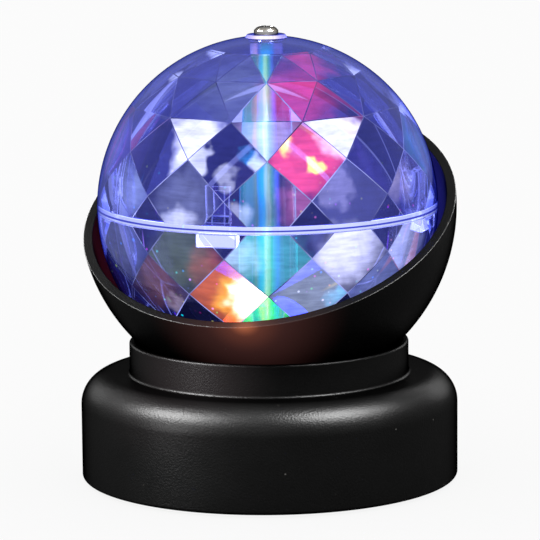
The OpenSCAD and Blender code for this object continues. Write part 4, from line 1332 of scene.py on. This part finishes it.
@dataclass
class Bowl:
    """The black bowl round the globe: part of a sphere whose rim is cut by a slanted plane."""

    outer_r: float = 62.3
    inner_r: float = 59.1
    floor_t: float = 2.6
    lip_r: float = 25.0
    rim_tilt_deg: float = 28.0
    rim_drop: float = 2.2
    edge_w: float = 0.35
    around: int = 256
    rows: int = 64

    def __post_init__(self) -> None:
        """Take the bottom's height, from the globe's centre, from the frame."""
        self.bottom_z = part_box("bowl")[0].z / MM - GLOBE_Z

    def sphere_strip(self, radius: float, bottom_z: float) -> np.ndarray:
        """Part of a sphere between a level circle and the slanted rim.

        At azimuth p the rim's polar angle t solves -sin(tilt) sin(p) sin(t) + cos(tilt) cos(t) = -drop / R,
        which is M cos(t - d) with M the length and d the angle of the two factors.

        Args:
            radius: the sphere's radius.
            bottom_z: height of the level circle from the centre.

        Returns:
            (around, rows, 3) points, from the bottom to the rim.
        """
        azimuth = ring_angles(self.around)
        tilt = math.radians(self.rim_tilt_deg)
        across = -math.sin(tilt) * np.sin(azimuth)
        along = np.full_like(across, math.cos(tilt))
        size = np.hypot(across, along)
        rim = np.arctan2(across, along) + np.arccos(-self.rim_drop / (radius * size))
        bottom = math.acos(bottom_z / radius)
        share = np.linspace(0.0, 1.0, self.rows)[None, :]
        polar = bottom + share * (rim[:, None] - bottom)
        turn = azimuth[:, None]
        return radius * np.stack([np.sin(polar) * np.cos(turn), np.sin(polar) * np.sin(turn), np.cos(polar)],
                                 axis=-1)

    def build(self, outside: Material, inside: Material) -> None:
        """Build and dress the bowl.

        Args:
            outside: the black plastic of the outside and the rim, with painted lamp light on its front.
            inside: the same plastic where the lamps light it.
        """
        outer = self.sphere_strip(self.outer_r, self.bottom_z)
        inner = self.sphere_strip(self.inner_r, self.bottom_z + self.floor_t)[:, ::-1, :]
        lip = lathe(np.array([[self.lip_r, self.bottom_z + self.floor_t], [self.lip_r, self.bottom_z]]),
                    ring_angles(self.around))
        section = np.concatenate([outer, inner, lip], axis=1)
        points = section.reshape(-1, 3) + np.array([0.0, 0.0, GLOBE_Z])
        piece = put_mesh("bowl_shell", points, [grid_faces(self.around, section.shape[1], True, True)])
        add_bevel(piece, self.edge_w, segments=3, angle_deg=40.0)
        place(piece, outside, "stand", "black_abs", "bowl")
        piece.data.materials.append(inside)
        column = np.arange(len(piece.data.polygons)) % section.shape[1]
        is_inside = (column >= self.rows) & (column < 2 * self.rows - 1)
        piece.data.polygons.foreach_set("material_index", is_inside.astype(np.int32))


@dataclass
class Base:
    """The round black base: housing with its neck ring and the switch's recess."""

    outer_r: float = 62.5
    top_z: float = 35.6
    skirt_z: float = 1.0
    shoulder_r: float = 10.0
    edge_r: float = 1.2
    wall: float = 2.4
    neck_r: float = 46.3
    neck_in_r: float = 44.4
    neck_top: float = 46.4
    neck_foot_r: float = 0.9
    lip_r: float = 29.0
    recess_w: float = 14.6
    recess_low: float = 7.1
    recess_high: float = 26.9
    recess_y: float = 60.0
    pad_y: float = 58.4
    pad_foot: float = 5.0
    pad_step: float = 0.1
    pad_margin: float = 1.5
    edge_w: float = 0.3
    around: int = 244
    across: int = 12
    arc_steps: int = 18

    def outline(self) -> tuple[np.ndarray, int]:
        """Closed outline of the housing's wall, with points at the recess's edges and at the pad's foot.

        Returns:
            (n, 2) radii and heights, and the number of the point at the recess's upper edge.
        """
        inner_r = self.outer_r - self.wall
        ceiling = self.top_z - self.wall
        points = rounded([
            [self.lip_r, ceiling, 0.2], [self.lip_r, self.top_z, 0.2], [self.neck_in_r, self.top_z, 0.3],
            [self.neck_in_r, self.neck_top, 0.4], [self.neck_r, self.neck_top, 0.8],
            [self.neck_r, self.top_z, self.neck_foot_r], [self.outer_r, self.top_z, self.shoulder_r],
            [self.outer_r, self.skirt_z, self.edge_r], [inner_r, self.skirt_z, 0.2],
            [inner_r, ceiling, self.shoulder_r - self.wall]], self.arc_steps, closed=True)
        # Each corner has given way to an arc; the shoulder's is the seventh.
        shoulder = 6 * self.arc_steps
        above = int((points[shoulder:shoulder + self.arc_steps, 1] > self.recess_high).sum())
        rise = self.recess_high - (self.top_z - self.shoulder_r)
        high_r = self.outer_r - self.shoulder_r + math.sqrt(self.shoulder_r ** 2 - rise ** 2)
        extra = [[high_r, self.recess_high], [self.outer_r, self.recess_low],
                 [inner_r, self.pad_foot - self.pad_step], [inner_r, self.pad_foot + self.pad_step]]
        places = [shoulder + above, 7 * self.arc_steps, 9 * self.arc_steps, 9 * self.arc_steps]
        return np.insert(points, places, extra, axis=0), shoulder + above

    def build(self, material: Material) -> None:
        """Build and dress the housing.

        The outline is turned round the axis. Where the switch sits, a window of its faces gives way to a
        pocket with a flat floor, and the wall behind it is a flat pad.

        Args:
            material: the black plastic.
        """
        outline, high = self.outline()
        # The recess's lower edge follows the shoulder's arc and the one point put into it.
        low = 7 * self.arc_steps + 1
        half = math.asin(0.5 * self.recess_w / self.outer_r)
        back = math.pi / 2.0
        angles = np.concatenate([
            np.linspace(back + half, back + 2.0 * math.pi - half, self.around),
            np.linspace(back - half, back + half, self.across)[1:-1]])
        section = lathe(outline, angles)
        inner = section[:, low + self.arc_steps:, :]
        pad_half = 0.5 * self.recess_w + self.pad_margin
        on_pad = ((np.abs(inner[..., 0]) < pad_half) & (inner[..., 1] > self.pad_y)
                  & (inner[..., 2] > self.pad_foot))
        inner[..., 1] = np.where(on_pad, self.pad_y, inner[..., 1])
        width = len(outline)
        faces = grid_faces(len(angles), width, True, True)
        column = np.arange(len(faces)) % width
        in_window = (np.arange(len(faces)) // width >= self.around - 1) & (column >= high) & (column < low)
        turns = np.append(np.arange(self.around - 1, len(angles)), 0)
        rows = np.arange(high, low + 1)
        window = turns[:, None] * width + rows[None, :]
        points = section.reshape(-1, 3)
        pocket_points = points[window.ravel()].copy()
        pocket_points[:, 1] = self.recess_y
        pocket = len(points) + np.arange(window.size).reshape(window.shape)
        floor = grid_faces(*window.shape, False, False) + len(points)
        edge, foot = [np.concatenate([grid[0, :-1], grid[:-1, -1], grid[-1, :0:-1], grid[:0:-1, 0]])
                      for grid in (window, pocket)]
        walls = np.stack([edge, np.roll(edge, -1), np.roll(foot, -1), foot], axis=1)
        piece = put_mesh("base_housing_shell", np.vstack([points, pocket_points]),
                         [faces[~in_window], floor, walls])
        add_bevel(piece, self.edge_w, segments=2, angle_deg=50.0)
        place(piece, material, "stand", "black_abs", "base_housing")


class LampColour(Enum):
    """The three lamps: CAD node, slot, colour of the lens, colour of its light, and the glow's strength."""

    RED = ("red_led", "red_lens", "#E62A18", "#FF5A20", 6.0)
    GREEN = ("green_led", "green_lens", "#20D848", "#30FF50", 3.0)
    BLUE = ("blue_led", "blue_lens", "#2838F0", "#3050FF", 3.0)


@dataclass
class Lamps:
    """The three lamps on the light board: epoxy lenses with a flange and a round nose."""

    lens_r: float = 4.0
    flange_r: float = 4.6
    flange_h: float = 1.0
    nose_steps: int = 20
    round_steps: int = 6
    segments: int = 64

    def build(self) -> None:
        """Build and dress the lenses: a flange, a straight barrel and half a sphere, turned round an axis."""
        rise = np.linspace(0.0, math.pi / 2.0, self.nose_steps)[1:]
        for lamp in LampColour:
            node, slot, colour, glow, strength = lamp.value
            low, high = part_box(node)
            foot = low.z / MM
            nose = high.z / MM
            shoulder = nose - self.lens_r
            flange = foot + self.flange_h
            body = rounded([[0.0, foot, 0.1], [self.flange_r, foot, 0.15], [self.flange_r, flange, 0.25],
                            [self.lens_r, flange, 0.3], [self.lens_r, shoulder, 0.1]], self.round_steps)
            arc = np.stack([self.lens_r * np.cos(rise), shoulder + self.lens_r * np.sin(rise)], axis=-1)
            points, groups = turned_solid(np.vstack([body, arc]), self.segments)
            points += np.array([(low.x + high.x) / (2.0 * MM), (low.y + high.y) / (2.0 * MM), 0.0])
            name = lamp.name.lower()
            piece = put_mesh("lamp_lens_" + name, points, groups)
            finish = LampLens(name + " epoxy lens, lit", colour, glow, strength, foot, nose)
            place(piece, finish.material(), "stand", slot, node)


@dataclass
class Feet:
    """The rubber feet: round pads with a rounded rim and a shallow dish underneath."""

    pad_r: float = 5.0
    height: float = 2.0
    rim_w: float = 1.5
    dish: float = 0.5
    dish_slope: float = 0.6
    ring_r: float = 52.0
    angles_deg: tuple[float, ...] = (62.0, 118.0, 198.0, 342.0)
    round_steps: int = 6
    segments: int = 48

    def build(self, material: Material) -> None:
        """Build and dress the feet: one outline turned round each foot's axis.

        Args:
            material: the rubber.
        """
        dish_r = self.pad_r - self.rim_w
        profile = rounded([
            [0.0, self.dish, 0.1], [dish_r - self.dish_slope, self.dish, 0.4], [dish_r, 0.0, 0.3],
            [self.pad_r, 0.0, 0.5], [self.pad_r, self.height, 0.2], [0.0, self.height, 0.1]],
            self.round_steps)
        pad, pad_groups = turned_solid(profile, self.segments)
        turns = np.radians(np.array(self.angles_deg))
        spots = self.ring_r * np.stack([np.cos(turns), np.sin(turns), np.zeros(len(turns))], axis=-1)
        points = (spots[:, None, :] + pad[None, :, :]).reshape(-1, 3)
        shifts = (np.arange(len(turns)) * len(pad))[:, None, None]
        groups = [(group[None] + shifts).reshape(-1, group.shape[1]) for group in pad_groups]
        place(put_mesh("base_feet_pads", points, groups), material, "stand", "foot_rubber", "feet")


@dataclass(frozen=True)
class SoftBox:
    """A studio soft box: an area light that faces the object, and lights only the pieces that it names.

    Its sizes are metres.
    """

    name: str
    azimuth_deg: float
    elevation_deg: float
    width: float
    height: float
    watts: float
    pieces: tuple[str, ...]
    distance: float = 0.9

    def build(self, target_z: float) -> None:
        """Put the light in the scene, turned to a point on the object's axis.

        A box under the floor is blocked only by the pieces that it lights.

        Args:
            target_z: the point's height in metres.
        """
        receivers = bpy.data.collections.new(self.name + "_receivers")
        for piece in self.pieces:
            receivers.objects.link(bpy.data.objects[piece])
        light = bpy.data.lights.new(self.name, "AREA")
        light.shape = "RECTANGLE"
        light.size = self.width
        light.size_y = self.height
        light.energy = self.watts
        lamp = bpy.data.objects.new(self.name, light)
        lamp.light_linking.receiver_collection = receivers
        if self.elevation_deg < 0.0:
            lamp.light_linking.blocker_collection = receivers
        turn = Matrix.Rotation(math.radians(FRONT_DEG + self.azimuth_deg), 4, "Z")
        tilt = Matrix.Rotation(math.radians(90.0 - self.elevation_deg), 4, "X")
        lamp.matrix_world = (Matrix.Translation((0.0, 0.0, target_z)) @ turn @ tilt
                             @ Matrix.Translation((0.0, 0.0, self.distance)))
        bpy.context.scene.collection.objects.link(lamp)


@dataclass
class Studio:
    """The pale floor, the white surroundings, the soft boxes and the camera.

    The camera's reach, the height that the lights face and half the floor's width are metres.
    """

    camera_distance: float = 1187.74
    camera_height: float = 271.62
    camera_pitch_deg: float = 9.659
    camera_yaw_deg: float = -0.028
    camera_roll_deg: float = -0.523
    camera_lens: float = 242.84
    camera_sensor: float = 36.0
    camera_reach: float = 20.0
    light_target: float = 0.03
    floor_half: float = 6.0
    floor_paint: str = "#F4F4F4"
    floor_glow: float = 0.88
    ambient: float = 0.8

    def background_share(self, tree: NodeTree) -> Node:
        """1 for rays that show the background: camera, glossy and transmission rays.

        Args:
            tree: the tree that gets the nodes.

        Returns:
            The node that gives the share.
        """
        path = add_node(tree, "LightPath")
        seen = add_node(tree, "Math", [path.outputs["Is Camera Ray"], path.outputs["Is Glossy Ray"]],
                        operation="MAXIMUM")
        return add_node(tree, "Math", [seen, path.outputs["Is Transmission Ray"]], operation="MAXIMUM")

    def build_world(self) -> None:
        """White surroundings for rays that show them, and a soft fill for the rest."""
        world = bpy.data.worlds.new("studio")
        bpy.context.scene.world = world
        world.use_nodes = True
        tree = world.node_tree
        tree.nodes.clear()
        fill = add_node(tree, "Background", [linear(WHITE), self.ambient])
        shown = add_node(tree, "Background", [linear(WHITE), 1.0])
        mixed = add_node(tree, "MixShader", [self.background_share(tree), fill, shown])
        add_node(tree, "OutputWorld", {"Surface": mixed})

    def build_floor(self) -> None:
        """A pale painted floor that shows near white, keeps the object's shadow, and is clear from below."""
        half = self.floor_half / MM
        points = np.array([[-half, -half, 0.0], [half, -half, 0.0], [half, half, 0.0], [-half, half, 0.0]])
        floor = put_mesh("studio_floor", points, [np.array([[0, 1, 2, 3]])])
        material, tree, _ = start_material("matt white studio floor")
        paint = add_node(tree, "BsdfDiffuse", [linear(self.floor_paint)])
        glow = add_node(tree, "Emission", [linear(WHITE), 1.0])
        seen = add_node(tree, "LightPath").outputs["Is Camera Ray"]
        share = add_node(tree, "Math", [seen, self.floor_glow], operation="MULTIPLY")
        mixed = add_node(tree, "MixShader", [share, paint, glow])
        below = add_node(tree, "NewGeometry").outputs["Backfacing"]
        one_sided = add_node(tree, "MixShader", [below, mixed, add_node(tree, "BsdfTransparent")])
        add_node(tree, "OutputMaterial", {"Surface": one_sided})
        floor.data.materials.append(material)

    def build_camera(self) -> None:
        """The camera at the photograph's place, turned, tilted and rolled to match it."""
        data = bpy.data.cameras.new("photo_camera")
        data.lens = self.camera_lens
        data.sensor_width = self.camera_sensor
        data.clip_end = self.camera_reach
        camera = bpy.data.objects.new("photo_camera", data)
        turn = math.radians(FRONT_DEG)
        place_at = Matrix.Translation((self.camera_distance * math.sin(turn) * MM,
                                       -self.camera_distance * math.cos(turn) * MM, self.camera_height * MM))
        camera.matrix_world = (
            place_at
            @ Matrix.Rotation(turn + math.radians(self.camera_yaw_deg), 4, "Z")
            @ Matrix.Rotation(math.radians(90.0 - self.camera_pitch_deg), 4, "X")
            @ Matrix.Rotation(math.radians(self.camera_roll_deg), 4, "Z"))
        bpy.context.scene.collection.objects.link(camera)
        bpy.context.scene.camera = camera

    def build(self) -> None:
        """Build the studio."""
        bpy.context.scene.view_settings.view_transform = "Standard"
        self.build_camera()
        self.build_world()
        self.build_floor()
        bowl = ("bowl_shell",)
        underside = ("base_feet_pads", "base_plate", "battery_door", "base_screws")
        base = ("base_housing_shell", "switch_body", "switch_rocker") + underside
        stand_and_screw = bowl + base + ("globe_top_screw",)
        for box in (SoftBox("soft_box_left", -76.0, 46.0, 0.5, 0.35, 215.0, stand_and_screw),
                    SoftBox("soft_box_right", 65.0, 58.0, 0.45, 0.35, 210.0, stand_and_screw),
                    SoftBox("soft_box_low", -60.0, 10.0, 0.25, 0.4, 24.0, base),
                    SoftBox("back_box_left", -145.0, 16.0, 0.45, 0.3, 73.0, bowl),
                    SoftBox("back_box_right", 150.0, 16.0, 0.45, 0.3, 73.0, bowl),
                    SoftBox("back_base_box_left", -145.0, 16.0, 0.45, 0.3, 5.0, base),
                    SoftBox("back_base_box_right", 150.0, 16.0, 0.45, 0.3, 5.0, base),
                    SoftBox("under_box_left", -70.0, -40.0, 0.5, 0.4, 60.0, underside),
                    SoftBox("under_box_right", 95.0, -60.0, 0.5, 0.4, 30.0, underside)):
            box.build(self.light_target)


def soften_edges(names: tuple[str, ...], width_mm: float, joined_mm: float = 0.002) -> None:
    """Join the loose triangles of CAD nodes and round their sharp edges, by modifiers alone.

    Args:
        names: the nodes.
        width_mm: width of the rounding.
        joined_mm: points nearer than this are joined.
    """
    for name in names:
        node = frame["nodes"][name]
        weld = node.modifiers.new("joined", "WELD")
        weld.merge_threshold = joined_mm * MM
        add_bevel(node, width_mm, segments=2, angle_deg=40.0)


def dress_cad_nodes(finishes: dict[str, MouldedPlastic | PlatedMetal | CircuitBoard]) -> None:
    """Give every CAD node that still shows the finish of its slot.

    Args:
        finishes: the finish of each slot.
    """
    materials = {slot: finish.material() for slot, finish in finishes.items()}
    slots = {part["node"]: part["material_slot"] for part in frame["record"]["subparts"]}
    for name, node in frame["nodes"].items():
        if node.hide_render:
            continue
        for slot in node.material_slots:
            slot.material = materials[slots[name]]


def main() -> None:
    """Build the pieces in order, dress them and set up the studio."""
    logging.basicConfig(level=logging.INFO, format="%(message)s")
    # The base's glow is painted dim warm light on the neck's front and the base top beside it; its last
    # colour paints shade towards the outline.
    black = MouldedPlastic(
        "black ABS, spark-eroded satin mould", "#020202", 0.36, 0.05, 0.6, 0.8,
        (Glow((-15.0, -44.0, 42.0), 5.0, 34.0, "#2E2628", 1.1),), "#C4C4C4")
    # Painted lamp light on the bowl's outside: a warm glow over the front, brightest at the lamp by the rim.
    bowl_black = replace(black, name="black ABS, satin mould, by the lamp", glows=(
        Glow((9.8, -58.0, 60.0), 2.0, 38.0, "#3C2220", 2.6),
        Glow((9.5, -54.2, 61.5), 0.0, 6.0, "#E08050", 0.9),
        Glow((9.5, -54.2, 61.5), 0.0, 14.0, "#A85838", 0.45)))
    # Painted lamp light on the bowl's inside, blue towards the back right and dark red at the front left; its
    # coat tint paints a little shade towards the outline.
    lit_black = replace(
        black, name="black ABS, satin mould, lit by the lamps", roughness=0.45, grain_depth=1.0,
        outline_shade="#E8E8E8", glows=(
            Glow((60.0, 10.0, 90.0), 10.0, 70.0, "#24248A", 1.0),
            Glow((-45.0, -30.0, 70.0), 5.0, 45.0, "#3C0C1A", 1.8)))
    rubber = MouldedPlastic("black rubber, moulded matt", "#1B1B1B", 0.75, 0.3, 0.7, 0.8)
    Base().build(black.material())
    Bowl().build(bowl_black.material(), lit_black.material())
    for part in (Globe(), Clips(), Post(), TopScrew(), Lamps()):
        part.build()
    Feet().build(rubber.material())
    Studio().build()
    soften_edges(("base_plate", "battery_door", "switch_body", "switch_rocker"), width_mm=0.3)
    dress_cad_nodes({
        "black_abs": MouldedPlastic("black ABS, fine grain", "#0C0C0D", 0.42, 0.1, 0.6, 0.5),
        "zinc_plated_steel": PlatedMetal("zinc-plated steel, cold headed", "#C9CBCF", 0.22, 0.4),
        "ground_steel": PlatedMetal("carbon steel, ground", "#B9BCC0", 0.15, 0.2),
        "motor_steel": PlatedMetal("steel strip, drawn and plated", "#AEB2B6", 0.28, 0.6),
        "white_acetal": MouldedPlastic("white acetal, moulded", "#E6E6E0", 0.45, 0.5, 0.8, 0.2),
        "brass": PlatedMetal("brass, turned", "#D9B25A", 0.24, 0.3, "#B08C40"),
        "bronze": PlatedMetal("bronze, sintered", "#A9753F", 0.42, 0.5, "#805830"),
        "nickel_strip": PlatedMetal("nickel-plated spring strip, pressed", "#C8C4B8", 0.2, 0.5),
        "cell_sleeve": MouldedPlastic("shrunk cell sleeve, plain", "#3C4048", 0.3, 0.5, 1.2, 0.1),
        "white_board": CircuitBoard("white solder mask on glass fibre", "#E8E8E2", "#CFCDBE", 3.0),
        "green_board": CircuitBoard("green solder mask on glass fibre", "#1E6A3C", "#3C8A50", 2.4),
        "board_parts": MouldedPlastic("black epoxy, moulded parts", "#18181A", 0.5, 0.4, 0.5, 0.4),
        "switch_nylon": MouldedPlastic("black nylon, moulded", "#0C0C0D", 0.3, 0.1, 0.5, 0.4),
        "lead_pvc": MouldedPlastic("red PVC sleeve, extruded", "#A01E1E", 0.45, 0.4, 0.6, 0.2),
    })


if __name__ == "__main__":
    main()
